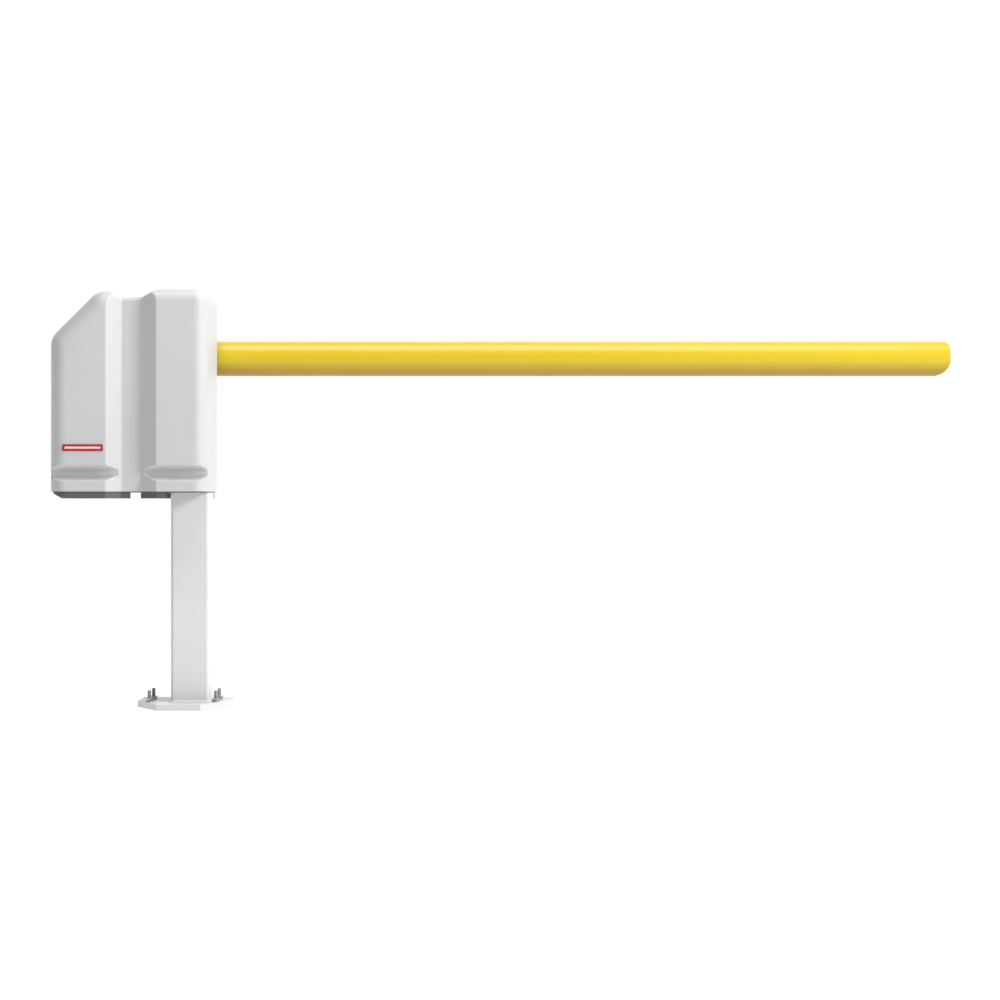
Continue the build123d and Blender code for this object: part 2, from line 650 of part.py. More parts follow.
def key_box(y_front, y_rear, spare):
    """The bar of a key on top of the shaft; spare widens it into its keyway."""
    return box_between(
        (PIVOT_X - KEY_W / 2 - spare, y_front, PIVOT_Z + SHAFT_R - KEY_DEPTH - spare),
        (PIVOT_X + KEY_W / 2 + spare, y_rear, PIVOT_Z + SHAFT_R + KEY_DEPTH + spare),
    )


with BuildPart() as output_shaft:
    add(ring_y(SHAFT_R, 0, SHAFT_FRONT, SHAFT_REAR))
    chamfer(output_shaft.edges().filter_by(GeomType.CIRCLE), length=1.0)
    for key_span in (WHEEL_KEY, HUB_KEY):
        add(key_box(*key_span, 0), mode=Mode.SUBTRACT)
output_shaft.part.label = "output_shaft"
export_step(output_shaft.part, "parts/output_shaft.step")

with BuildPart() as shaft_keys:
    for key_span in (WHEEL_KEY, HUB_KEY):
        add(key_box(*key_span, 0))
shaft_keys.part.label = "shaft_keys"
export_step(shaft_keys.part, "parts/shaft_keys.step")


def tooth_points(turn):
    """Outline of the whole toothed rim, turned by an angle, as points about its own centre."""
    points = []
    tip_half = TOOTH_HALF - ADDENDUM * math.tan(PRESSURE_ANGLE)
    root_half = TOOTH_HALF + (WHEEL_PITCH_R - WHEEL_ROOT_R) * math.tan(PRESSURE_ANGLE)
    tip_r = WHEEL_PITCH_R + ADDENDUM
    for tooth in range(WHEEL_TEETH):
        middle = math.pi + turn + (tooth + 0.5) * 2 * math.pi / WHEEL_TEETH
        for radius, half in (
            (WHEEL_ROOT_R, -root_half),
            (tip_r, -tip_half),
            (tip_r, tip_half),
            (WHEEL_ROOT_R, root_half),
        ):
            angle = middle + half / radius
            points.append((PIVOT_X + radius * math.cos(angle), PIVOT_Z + radius * math.sin(angle)))
    return points


LEAD_SLOPE = WORM_PITCH / (2 * math.pi * WORM_PITCH_R)
TWIST = WHEEL_W / 2 * LEAD_SLOPE / WHEEL_PITCH_R
HUB_R, HUB_FRONT, HUB_REAR = 22.0, CASE_FRONT + 0.5, CASE_REAR - OUT_BEARING_W - 0.5

with BuildPart() as worm_wheel:
    for side in (-1, 1):
        with BuildSketch(Plane.XZ.offset(-WHEEL_Y - side * WHEEL_W / 2)):
            with BuildLine():
                Polyline(*tooth_points(-side * TWIST), close=True)
            make_face()
    loft(ruled=True)
    add(ring_y(HUB_R, 0, HUB_FRONT, HUB_REAR))
    add(ring_y(SHAFT_R, 0, HUB_FRONT - 1, HUB_REAR + 1), mode=Mode.SUBTRACT)
    add(key_box(*WHEEL_KEY, 0), mode=Mode.SUBTRACT)
worm_wheel.part.label = "worm_wheel"
export_step(worm_wheel.part, "parts/worm_wheel.step")

# ---------------------------------------------------------------- worm shaft

WORM_SHAFT_BOTTOM, WORM_SHAFT_TOP = 836.0, 1026.0
WORM_START = PIVOT_Z - WORM_TURNS / 2 * WORM_PITCH
THREAD_SINK = 0.4
thread_root_r = WORM_CORE_R - THREAD_SINK
root_half = THREAD_HALF + (WORM_PITCH_R - thread_root_r) * math.tan(PRESSURE_ANGLE)
tip_half = THREAD_HALF - ADDENDUM * math.tan(PRESSURE_ANGLE)

with BuildPart() as worm_thread:
    with BuildLine() as worm_path:
        Helix(
            pitch=WORM_PITCH,
            height=WORM_TURNS * WORM_PITCH,
            radius=WORM_PITCH_R,
            center=(WORM_X, WHEEL_Y, WORM_START),
        )
    with BuildSketch(Plane(origin=worm_path.line @ 0, x_dir=(1, 0, 0), z_dir=worm_path.line % 0)):
        with BuildLine():
            Polyline(
                (thread_root_r - WORM_PITCH_R, -root_half),
                (ADDENDUM, -tip_half),
                (ADDENDUM, tip_half),
                (thread_root_r - WORM_PITCH_R, root_half),
                close=True,
            )
        make_face()
    sweep(path=worm_path.line, is_frenet=True)

with BuildPart() as worm_shaft:
    with BuildSketch(Plane.XY.offset(WORM_SHAFT_BOTTOM)):
        with Locations((WORM_X, WHEEL_Y)):
            Circle(JOURNAL_R)
    extrude(amount=WORM_SHAFT_TOP - WORM_SHAFT_BOTTOM)
    with BuildSketch(Plane.XY.offset(WORM_START - 8)):
        with Locations((WORM_X, WHEEL_Y)):
            Circle(WORM_CORE_R)
    extrude(amount=WORM_TURNS * WORM_PITCH + 16)
    add(worm_thread.part)
worm_shaft.part.label = "worm_shaft"
export_step(worm_shaft.part, "parts/worm_shaft.step")


def ring_z(outer_r, inner_r, bottom, top):
    """A disc or ring about the worm's axis."""
    with BuildPart() as ring:
        with BuildSketch(Plane.XY.offset(bottom)):
            with Locations((WORM_X, WHEEL_Y)):
                Circle(outer_r)
                if inner_r:
                    Circle(inner_r, mode=Mode.SUBTRACT)
        extrude(amount=top - bottom)
    return ring.part


with BuildPart() as shaft_coupling:
    add(ring_z(18, JOURNAL_R, 834, 856))
    add(ring_z(18, 0, 812, 833.9))
    for jaw in range(3):
        with Locations(
            Location((WORM_X, WHEEL_Y, 833.95), (0, 0, 1), jaw * 120) * Location((13, 0, 0))
        ):
            Box(8, 6, 8)
    add(ring_z(7, 0, 805, 813))
shaft_coupling.part.label = "shaft_coupling"
export_step(shaft_coupling.part, "parts/shaft_coupling.step")

WHEEL_HAND_R, WHEEL_HAND_Z = 44.0, 1014.0
with BuildPart() as hand_wheel:
    with BuildSketch(Plane(origin=(WORM_X, WHEEL_Y, WHEEL_HAND_Z), x_dir=(1, 0, 0), z_dir=(0, -1, 0))):
        with Locations((WHEEL_HAND_R - 6, 0)):
            Circle(6)
    revolve(axis=Axis((WORM_X, WHEEL_Y, 0), (0, 0, 1)))
    add(ring_z(14, 0, WHEEL_HAND_Z - 8, WHEEL_HAND_Z + 8))
    for spoke in range(3):
        with Locations(
            Location((WORM_X, WHEEL_Y, WHEEL_HAND_Z), (0, 0, 1), spoke * 120 + 30)
            * Location((24, 0, 0))
        ):
            Box(28, 8, 6)
    add(ring_z(JOURNAL_R, 0, WHEEL_HAND_Z - 20, WHEEL_HAND_Z + 20), mode=Mode.SUBTRACT)
hand_wheel.part.label = "hand_wheel"
export_step(hand_wheel.part, "parts/hand_wheel.step")

# ---------------------------------------------------------------- gearbox

with BuildPart() as gearbox_case:
    add(ring_y(CASE_R, 0, CASE_FRONT, CASE_REAR))
    add(ring_z(WORM_CASE_R, 0, WORM_CASE_BOTTOM, WORM_CASE_TOP))
    add(
        box_between(
            (CASE_FLANGE_LEFT, CASE_REAR - CASE_FLANGE_T, WORM_CASE_BOTTOM),
            (PIVOT_X + CASE_R, CASE_REAR, WORM_CASE_TOP),
        )
    )
    add(ring_y(CAVITY_R, 0, CASE_FRONT - 1, CASE_REAR - OUT_BEARING_W), mode=Mode.SUBTRACT)
    add(ring_y(OUT_BEARING_R, 0, CASE_FRONT, CASE_REAR + 1), mode=Mode.SUBTRACT)
    add(ring_z(IN_BEARING_R, 0, WORM_CASE_BOTTOM - 1, WORM_CASE_TOP + 1), mode=Mode.SUBTRACT)
gearbox_case.part.label = "gearbox_case"
export_step(gearbox_case.part, "parts/gearbox_case.step")

COVER_FACE = CASE_FRONT - GEAR_COVER_T
BOSS_FACE = COVER_FACE - BOSS_T
with BuildPart() as gearbox_cover:
    add(ring_y(CASE_R, 0, COVER_FACE, CASE_FRONT))
    add(ring_y(BOSS_R, 0, BOSS_FACE, COVER_FACE))
    add(ring_y(OUT_BEARING_R, 0, CASE_FRONT - OUT_BEARING_W, CASE_FRONT + 1), mode=Mode.SUBTRACT)
    add(ring_y(SHAFT_R + 2, 0, BOSS_FACE - 1, COVER_FACE), mode=Mode.SUBTRACT)
    with Locations(Plane.XZ.offset(-COVER_FACE).location):
        with Locations(shaft_axis):
            with PolarLocations(CASE_R - 5, 6, start_angle=15):
                Hole(2.5, depth=GEAR_COVER_T)
gearbox_cover.part.label = "gearbox_cover"
export_step(gearbox_cover.part, "parts/gearbox_cover.step")

with BuildPart() as gearbox_bolts:
    with BuildSketch(Plane.XZ.offset(-COVER_FACE)):
        with Locations(shaft_axis):
            with PolarLocations(CASE_R - 5, 6, start_angle=15):
                Circle(4.2)
    extrude(amount=4)
    with BuildSketch(Plane.XZ.offset(-COVER_FACE)):
        with Locations(shaft_axis):
            with PolarLocations(CASE_R - 5, 6, start_angle=15):
                Circle(2.5)
    extrude(amount=-GEAR_COVER_T)
gearbox_bolts.part.label = "gearbox_bolts"
export_step(gearbox_bolts.part, "parts/gearbox_bolts.step")


with BuildPart() as output_bearings:
    for bearing_front in (CASE_FRONT - OUT_BEARING_W, CASE_REAR - OUT_BEARING_W):
        bearing_rear = bearing_front + OUT_BEARING_W
        add(ring_y(OUT_BEARING_R, 26.5, bearing_front, bearing_rear))
        add(ring_y(19.5, SHAFT_R + RUNNING_FIT, bearing_front, bearing_rear))
        add(ring_y(26.5, 19.5, bearing_front + 3, bearing_rear - 3))
output_bearings.part.label = "output_bearings"
export_step(output_bearings.part, "parts/output_bearings.step")

with BuildPart() as worm_bearings:
    for bearing_bottom in (WORM_CASE_BOTTOM + 2, WORM_CASE_TOP - 2 - IN_BEARING_W):
        add(ring_z(IN_BEARING_R, JOURNAL_R + RUNNING_FIT, bearing_bottom, bearing_bottom + IN_BEARING_W))
worm_bearings.part.label = "worm_bearings"
export_step(worm_bearings.part, "parts/worm_bearings.step")

# ---------------------------------------------------------------- motor

with BuildPart() as motor_can:
    add(ring_z(MOTOR_R, 0, MOTOR_BOTTOM, MOTOR_TOP - 6))
    add(ring_z(MOTOR_R + 3, 0, MOTOR_TOP - 6, MOTOR_TOP))
    add(ring_z(12, 0, MOTOR_TOP, MOTOR_TOP + 4))
    add(ring_z(7.2, 0, MOTOR_TOP - 10, MOTOR_TOP + 5), mode=Mode.SUBTRACT)
motor_can.part.label = "motor_can"
export_step(motor_can.part, "parts/motor_can.step")

with BuildPart() as motor_end_bell:
    add(ring_z(MOTOR_R + 1, 0, MOTOR_BOTTOM - BELL_H, MOTOR_BOTTOM))
    fillet(motor_end_bell.edges().group_by(Axis.Z)[0], radius=8)
motor_end_bell.part.label = "motor_end_bell"
export_step(motor_end_bell.part, "parts/motor_end_bell.step")

BRACKET_LEFT, BRACKET_RIGHT = WORM_X - 47, WORM_X + 49
with BuildPart() as motor_bracket:
    add(
        box_between(
            (BRACKET_LEFT, -18, MOTOR_TOP), (BRACKET_RIGHT, UPRIGHT_Y, MOTOR_TOP + BRACKET_T)
        )
    )
    add(
        box_between(
            (BRACKET_LEFT, UPRIGHT_Y - 8, MOTOR_TOP), (BRACKET_RIGHT, UPRIGHT_Y, MOTOR_TOP + 52)
        )
    )
    add(ring_z(19.5, 0, MOTOR_TOP - 1, MOTOR_TOP + 60), mode=Mode.SUBTRACT)
motor_bracket.part.label = "motor_bracket"
export_step(motor_bracket.part, "parts/motor_bracket.step")

# ---------------------------------------------------------------- cams, stop lever, bumpers, switches

CAM_R = 28.0
CAM_YS = (-36.0, -46.0)
CAM_W = 6.0
with BuildPart() as limit_cams:
    for cam_y, notch_angle in zip(CAM_YS, (90, 180)):
        with BuildSketch(Plane.XZ.offset(-cam_y - CAM_W)):
            with Locations(shaft_axis):
                Circle(CAM_R)
                Circle(SHAFT_R, mode=Mode.SUBTRACT)
                with PolarLocations(CAM_R, 1, start_angle=notch_angle + 40):
                    Rectangle(6, 14, mode=Mode.SUBTRACT)
        extrude(amount=CAM_W)
limit_cams.part.label = "limit_cams"
export_step(limit_cams.part, "parts/limit_cams.step")

LEVER_FRONT, LEVER_REAR = -60.0, -50.0
LEVER_LENGTH, LEVER_HALF_W = 54.0, 9.0
with BuildPart() as stop_lever:
    add(ring_y(22, 0, LEVER_FRONT, LEVER_REAR))
    add(
        box_between(
            (PIVOT_X - LEVER_HALF_W, LEVER_FRONT, PIVOT_Z - LEVER_LENGTH),
            (PIVOT_X + LEVER_HALF_W, LEVER_REAR, PIVOT_Z),
        )
    )
    add(ring_y(SHAFT_R, 0, LEVER_FRONT - 1, LEVER_REAR + 1), mode=Mode.SUBTRACT)
stop_lever.part.label = "stop_lever"
export_step(stop_lever.part, "parts/stop_lever.step")

BUMPER_GAP, BUMPER_T, POST_W = 0.3, 9.7, 14.0
BUMPER_AT = 46.0
STOP_HALF = 8.0
stop_near = LEVER_HALF_W + BUMPER_GAP + BUMPER_T
with BuildPart() as stop_posts:
    add(
        box_between(
            (PIVOT_X - stop_near - POST_W, LEVER_FRONT, PIVOT_Z - BUMPER_AT - STOP_HALF),
            (PIVOT_X - stop_near, COVER_FACE, PIVOT_Z - BUMPER_AT + STOP_HALF),
        )
    )
    add(
        box_between(
            (PIVOT_X + BUMPER_AT - STOP_HALF, LEVER_FRONT, PIVOT_Z + stop_near),
            (PIVOT_X + BUMPER_AT + STOP_HALF, COVER_FACE, PIVOT_Z + stop_near + POST_W),
        )
    )
stop_posts.part.label = "stop_posts"
export_step(stop_posts.part, "parts/stop_posts.step")

LEVER_MID_Y = (LEVER_FRONT + LEVER_REAR) / 2
with BuildPart() as rubber_bumpers:
    with BuildSketch(
        Plane(
            origin=(PIVOT_X - stop_near, LEVER_MID_Y, PIVOT_Z - BUMPER_AT),
            x_dir=(0, 1, 0),
            z_dir=(1, 0, 0),
        )
    ):
        Circle(5)
    extrude(amount=BUMPER_T)
    with BuildSketch(
        Plane(
            origin=(PIVOT_X + BUMPER_AT, LEVER_MID_Y, PIVOT_Z + stop_near),
            x_dir=(1, 0, 0),
            z_dir=(0, 0, -1),
        )
    ):
        Circle(5)
    extrude(amount=BUMPER_T)
rubber_bumpers.part.label = "rubber_bumpers"
export_step(rubber_bumpers.part, "parts/rubber_bumpers.step")

SWITCH_LEFT, SWITCH_RIGHT = -66.0, -38.0
SWITCH_BOTTOM, SWITCH_TOP = 968.0, 984.0
with BuildPart() as switch_bracket:
    add(box_between((-68, -50, SWITCH_TOP), (-36, COVER_FACE, SWITCH_TOP + 3)))
    add(box_between((-60, COVER_FACE - 3, 966), (-36, COVER_FACE, SWITCH_TOP)))
switch_bracket.part.label = "switch_bracket"
export_step(switch_bracket.part, "parts/switch_bracket.step")

with BuildPart() as limit_switches:
    for cam_y in CAM_YS:
        add(
            box_between(
                (SWITCH_LEFT, cam_y - 1.5, SWITCH_BOTTOM), (SWITCH_RIGHT, cam_y + 7.5, SWITCH_TOP)
            )
        )
        add(box_between((-46, cam_y + 1.5, SWITCH_BOTTOM - 1.5), (-43, cam_y + 4.5, SWITCH_BOTTOM)))
limit_switches.part.label = "limit_switches"
export_step(limit_switches.part, "parts/limit_switches.step")

ROLLER_R = 4.0
ROLLER_GAP = 0.3
PIN_X, PIN_Z = -64.0, 965.0
ROLLER_Z = PIVOT_Z + CAM_R + ROLLER_GAP + ROLLER_R
for lever_name, cam_y in zip(("switch_lever_open", "switch_lever_closed"), CAM_YS):
    with BuildPart() as switch_lever:
        with BuildSketch(Plane.XZ.offset(-cam_y - 5)):
            with BuildLine():
                Polyline(
                    (PIN_X, PIN_Z - 0.6),
                    (PIVOT_X - 2, ROLLER_Z + 2),
                    (PIVOT_X - 2, ROLLER_Z + 3.2),
                    (PIN_X, PIN_Z + 0.6),
                    close=True,
                )
            make_face()
            with Locations((PIN_X, PIN_Z)):
                Circle(1.8)
            with Locations((PIVOT_X, ROLLER_Z)):
                Circle(ROLLER_R)
        extrude(amount=4)
    switch_lever.part.label = lever_name
    export_step(switch_lever.part, f"parts/{lever_name}.step")

# ---------------------------------------------------------------- arm and its carrier


def arm_plane(x):
    """Sketch plane across the arm at x, with its centre on the arm's axis."""
    return Plane(origin=(x, ARM_Y, PIVOT_Z), x_dir=(0, 1, 0), z_dir=(1, 0, 0))


with BuildPart() as arm_tube:
    with BuildSketch(arm_plane(ARM_REAR_END)):
        Circle(ARM_R)
        Circle(ARM_R - ARM_WALL, mode=Mode.SUBTRACT)
    extrude(amount=ARM_FRONT_END - END_CAP_L - ARM_REAR_END)
arm_tube.part.label = "arm_tube"
export_step(arm_tube.part, "parts/arm_tube.step")

TIP_TOP_R, TIP_LOW_R = 18.0, 42.0
SPIGOT_L = 30.0
with BuildPart() as arm_end_cap:
    with BuildSketch(arm_plane(ARM_FRONT_END - END_CAP_L)):
        Circle(ARM_R)
    extrude(amount=END_CAP_L)
    with BuildSketch(Plane.XZ.offset(-ARM_Y - ARM_R - 1)):
        with Locations((ARM_FRONT_END, PIVOT_Z)):
            Rectangle(2 * END_CAP_L, 2 * ARM_R, align=(Align.MAX, Align.CENTER))
        fillet(vertices().group_by(Axis.X)[-1].sort_by(Axis.Y)[0], TIP_LOW_R)
        fillet(vertices().group_by(Axis.X)[-1].sort_by(Axis.Y)[-1], TIP_TOP_R)
    extrude(amount=2 * ARM_R + 2, mode=Mode.INTERSECT)
    with BuildSketch(arm_plane(ARM_FRONT_END - END_CAP_L - SPIGOT_L)):
        Circle(ARM_R - ARM_WALL)
    extrude(amount=SPIGOT_L)
    with BuildSketch(arm_plane(ARM_FRONT_END - END_CAP_L - SPIGOT_L)):
        Circle(ARM_R - ARM_WALL - 4)
    extrude(amount=SPIGOT_L, mode=Mode.SUBTRACT)
arm_end_cap.part.label = "arm_end_cap"
export_step(arm_end_cap.part, "parts/arm_end_cap.step")

with BuildPart() as arm_rear_cap:
    with BuildSketch(arm_plane(ARM_REAR_END - 4)):
        Circle(ARM_R)
    extrude(amount=4)
    chamfer(arm_rear_cap.edges().sort_by(Axis.X)[0], length=1.5)
    with BuildSketch(arm_plane(ARM_REAR_END)):
        Circle(ARM_R - ARM_WALL)
        Circle(ARM_R - ARM_WALL - 4, mode=Mode.SUBTRACT)
    extrude(amount=20)
arm_rear_cap.part.label = "arm_rear_cap"
export_step(arm_rear_cap.part, "parts/arm_rear_cap.step")

with BuildPart() as arm_hub:
    add(ring_y(35, 0, 93.5, SADDLE_Y))
    add(ring_y(SHAFT_R, 0, 90, SADDLE_Y + 1), mode=Mode.SUBTRACT)
    add(key_box(*HUB_KEY, 0), mode=Mode.SUBTRACT)
arm_hub.part.label = "arm_hub"
export_step(arm_hub.part, "parts/arm_hub.step")

U_LEG = ARM_R + U_ROD_R
SADDLE_REAR = SADDLE_Y + SADDLE_T
with BuildPart() as arm_saddle:
    add(
        box_between(
            (SADDLE_LEFT, SADDLE_Y, PIVOT_Z - SADDLE_HALF_H),
            (SADDLE_RIGHT, SADDLE_REAR, PIVOT_Z + SADDLE_HALF_H),
        )
    )
    for bolt_x in U_BOLT_XS:
        add(
            box_between(
                (bolt_x - 14, SADDLE_REAR, PIVOT_Z - 36), (bolt_x + 14, SADDLE_REAR + 18, PIVOT_Z + 36)
            )
        )
    with BuildSketch(arm_plane(SADDLE_LEFT - 1)):
        Circle(ARM_R)
    extrude(amount=SADDLE_RIGHT - SADDLE_LEFT + 2, mode=Mode.SUBTRACT)
    for bolt_x in U_BOLT_XS:
        for side in (-1, 1):
            add(
                ring_y(U_ROD_R, 0, SADDLE_Y - 1, SADDLE_REAR + 1, (bolt_x, PIVOT_Z + side * U_LEG)),
                mode=Mode.SUBTRACT,
            )
arm_saddle.part.label = "arm_saddle"
export_step(arm_saddle.part, "parts/arm_saddle.step")

U_LEG_END = 97.0
with BuildPart() as u_bolts:
    for bolt_x in U_BOLT_XS:
        with BuildLine() as u_path:
            Line((bolt_x, U_LEG_END, PIVOT_Z - U_LEG), (bolt_x, ARM_Y, PIVOT_Z - U_LEG))
            ThreePointArc(
                (bolt_x, ARM_Y, PIVOT_Z - U_LEG),
                (bolt_x, ARM_Y + U_LEG, PIVOT_Z),
                (bolt_x, ARM_Y, PIVOT_Z + U_LEG),
            )
            Line((bolt_x, ARM_Y, PIVOT_Z + U_LEG), (bolt_x, U_LEG_END, PIVOT_Z + U_LEG))
        with BuildSketch(Plane(origin=u_path.line @ 0, z_dir=u_path.line % 0)):
            Circle(U_ROD_R)
        sweep(path=u_path.line)
u_bolts.part.label = "u_bolts"
export_step(u_bolts.part, "parts/u_bolts.step")

with BuildPart() as u_bolt_nuts:
    with BuildSketch(Plane.XZ.offset(-SADDLE_Y)):
        for bolt_x in U_BOLT_XS:
            with Locations((bolt_x, PIVOT_Z - U_LEG), (bolt_x, PIVOT_Z + U_LEG)):
                RegularPolygon(8.0, 6, major_radius=False)
                Circle(U_ROD_R, mode=Mode.SUBTRACT)
    extrude(amount=7)
u_bolt_nuts.part.label = "u_bolt_nuts"
export_step(u_bolt_nuts.part, "parts/u_bolt_nuts.step")

# ---------------------------------------------------------------- control box and electrics

with BuildPart() as control_box:
    add(box_between((BOX_LEFT, BOX_FRONT, BOX_BOTTOM), (BOX_RIGHT, SHEET_Y, BOX_TOP)))
    add(
        box_between(
            (BOX_LEFT + BOX_WALL, BOX_FRONT - 1, BOX_BOTTOM + BOX_WALL),
            (BOX_RIGHT - BOX_WALL, SHEET_Y - BOX_WALL, BOX_TOP - BOX_WALL),
        ),
        mode=Mode.SUBTRACT,
    )
control_box.part.label = "control_box"
export_step(control_box.part, "parts/control_box.step")

with BuildPart() as control_lid:
    add(box_between((BOX_LEFT, BOX_FRONT - 5, BOX_BOTTOM), (BOX_RIGHT, BOX_FRONT, BOX_TOP)))
    chamfer(control_lid.faces().sort_by(Axis.Y)[0].edges(), length=2)
control_lid.part.label = "control_lid"
export_step(control_lid.part, "parts/control_lid.step")

BOARD_REAR = SHEET_Y - BOX_WALL - 4
BOARD_BOTTOM, BOARD_T = 800.0, 1.6
with BuildPart() as control_board:
    add(
        box_between(
            (BOX_LEFT + 8, BOARD_REAR - BOARD_T, BOARD_BOTTOM),
            (BOX_RIGHT - 8, BOARD_REAR, BOX_TOP - 8),
        )
    )
    for stand_x in (BOX_LEFT + 14, BOX_RIGHT - 14):
        for stand_z in (BOARD_BOTTOM + 6, BOX_TOP - 14):
            add(ring_y(3, 0, BOARD_REAR, BOARD_REAR + 4, (stand_x, stand_z)))
control_board.part.label = "control_board"
export_step(control_board.part, "parts/control_board.step")

BOARD_FACE = BOARD_REAR - BOARD_T
with BuildPart() as board_parts:
    for relay in range(3):
        relay_x = BOX_LEFT + 18 + relay * 34
        add(box_between((relay_x, BOARD_FACE - 18, 905), (relay_x + 26, BOARD_FACE, 930)))
    for capacitor in range(3):
        add(ring_y(8, 0, BOARD_FACE - 28, BOARD_FACE, (BOX_LEFT + 28 + capacitor * 26, 875)))
    add(box_between((BOX_RIGHT - 52, BOARD_FACE - 24, 820), (BOX_RIGHT - 16, BOARD_FACE, 885)))
    add(box_between((BOX_LEFT + 22, BOARD_FACE - 4, 820), (BOX_LEFT + 46, BOARD_FACE, 844)))
board_parts.part.label = "board_parts"
export_step(board_parts.part, "parts/board_parts.step")

with BuildPart() as terminal_strip:
    add(box_between((BOX_LEFT + 12, 66, 762), (BOX_RIGHT - 12, SHEET_Y - BOX_WALL, 780)))
    for screw in range(10):
        screw_x = BOX_LEFT + 21 + screw * 12.6
        add(ring_y(3.4, 0, 64, 66, (screw_x, 771)))
terminal_strip.part.label = "terminal_strip"
export_step(terminal_strip.part, "parts/terminal_strip.step")

TRANSFORMER = ((-252.0, 32.0, 674.0), (-168.0, 88.0, 736.0))
with BuildPart() as transformer:
    (low_x, low_y, low_z), (high_x, high_y, high_z) = TRANSFORMER
    add(box_between((low_x, low_y + 12, low_z), (high_x, high_y - 8, high_z)))
    add(box_between((low_x + 16, low_y, low_z + 10), (high_x - 16, low_y + 12, high_z - 10)))
    add(box_between((low_x, high_y - 8, low_z + 24), (high_x, high_y, high_z - 24)))
transformer.part.label = "transformer"
export_step(transformer.part, "parts/transformer.step")

BATTERY = (65.0, 151.0, 94.0)
BATTERY_FRONT = -70.0
BATTERY_LEFTS = (-306.0, -239.0)
TRAY_T = 2.0
with BuildPart() as battery_tray:
    tray_low = (BATTERY_LEFTS[0] - 3, BATTERY_FRONT - 3, PAN_TOP)
    tray_high = (BATTERY_LEFTS[1] + BATTERY[0] + 3, BATTERY_FRONT + BATTERY[1] + 3, PAN_TOP + 22)
    add(box_between(tray_low, tray_high))
    add(
        box_between(
            (tray_low[0] + TRAY_T, tray_low[1] + TRAY_T, tray_low[2] + TRAY_T),
            (tray_high[0] - TRAY_T, tray_high[1] - TRAY_T, tray_high[2] + 1),
        ),
        mode=Mode.SUBTRACT,
    )
battery_tray.part.label = "battery_tray"
export_step(battery_tray.part, "parts/battery_tray.step")

BATTERY_BOTTOM = PAN_TOP + TRAY_T
with BuildPart() as batteries:
    for left in BATTERY_LEFTS:
        add(
            box_between(
                (left, BATTERY_FRONT, BATTERY_BOTTOM),
                (left + BATTERY[0], BATTERY_FRONT + BATTERY[1], BATTERY_BOTTOM + BATTERY[2]),
            )
        )
        for pole_x in (left + 14, left + BATTERY[0] - 20):
            add(
                box_between(
                    (pole_x, BATTERY_FRONT + 8, BATTERY_BOTTOM + BATTERY[2]),
                    (pole_x + 6, BATTERY_FRONT + 9.2, BATTERY_BOTTOM + BATTERY[2] + 7),
                )
            )
batteries.part.label = "batteries"
export_step(batteries.part, "parts/batteries.step")

SWITCH_BOX = ((-326.0, 44.0, 690.0), (-262.0, 88.0, 738.0))
ROCKER_X, BUTTON_X, PANEL_Z = -308.0, -278.0, 714.0
ROCKER_W, ROCKER_H, ROCKER_DEPTH = 13.0, 20.0, 12.0
ROCKER_AXIS_Y, TRUNNION_R, TRUNNION_HALF = 47.0, 1.5, 8.5


def bar_x(radius, half_length):
    """A round bar along the rocker's own axis."""
    with BuildPart() as bar:
        with BuildSketch(Plane.YZ.offset(ROCKER_X - half_length)):
            with Locations((ROCKER_AXIS_Y, PANEL_Z)):
                Circle(radius)
        extrude(amount=2 * half_length)
    return bar.part


BUTTON_R = 6.0
with BuildPart() as switch_box:
    add(box_between(*SWITCH_BOX))
    add(
        box_between(
            (ROCKER_X - ROCKER_W / 2 - 0.6, 43, PANEL_Z - ROCKER_H / 2 - 1.2),
            (ROCKER_X + ROCKER_W / 2 + 0.6, 44 + ROCKER_DEPTH, PANEL_Z + ROCKER_H / 2 + 1.2),
        ),
        mode=Mode.SUBTRACT,
    )
    add(ring_y(BUTTON_R + RUNNING_FIT, 0, 43, 64, (BUTTON_X, PANEL_Z)), mode=Mode.SUBTRACT)
    add(bar_x(TRUNNION_R + RUNNING_FIT, TRUNNION_HALF + 0.4), mode=Mode.SUBTRACT)
switch_box.part.label = "switch_box"
export_step(switch_box.part, "parts/switch_box.step")

with BuildPart() as power_rocker:
    with BuildSketch(Plane.YZ.offset(ROCKER_X - ROCKER_W / 2)):
        with BuildLine():
            Polyline(
                (41.0, PANEL_Z - ROCKER_H / 2),
                (43.5, PANEL_Z),
                (41.0, PANEL_Z + ROCKER_H / 2),
                (47.0, PANEL_Z + ROCKER_H / 2),
                (51.0, PANEL_Z + 3),
                (51.0, PANEL_Z - 3),
                (47.0, PANEL_Z - ROCKER_H / 2),
                close=True,
            )
        make_face()
    extrude(amount=ROCKER_W)
    add(bar_x(TRUNNION_R, TRUNNION_HALF))
power_rocker.part.label = "power_rocker"
export_step(power_rocker.part, "parts/power_rocker.step")

with BuildPart() as reset_button:
    add(ring_y(BUTTON_R, 0, 39, 58, (BUTTON_X, PANEL_Z)))
    fillet(reset_button.edges().sort_by(Axis.Y)[0], radius=1.5)
reset_button.part.label = "reset_button"
export_step(reset_button.part, "parts/reset_button.step")

GLAND_Y, GLAND_Z = 50.0, 786.0
CABLE_R = 3.5
with BuildPart() as cable_gland:
    gland_plane = Plane(origin=(BOX_RIGHT, GLAND_Y, GLAND_Z), x_dir=(0, 1, 0), z_dir=(1, 0, 0))
    with BuildSketch(gland_plane):
        RegularPolygon(9, 6, major_radius=False)
    extrude(amount=5)
    with BuildSketch(gland_plane.offset(5)):
        Circle(7)
    extrude(amount=5, taper=15)
    with BuildSketch(gland_plane):
        Circle(CABLE_R)
    extrude(amount=12, mode=Mode.SUBTRACT)
cable_gland.part.label = "cable_gland"
export_step(cable_gland.part, "parts/cable_gland.step")

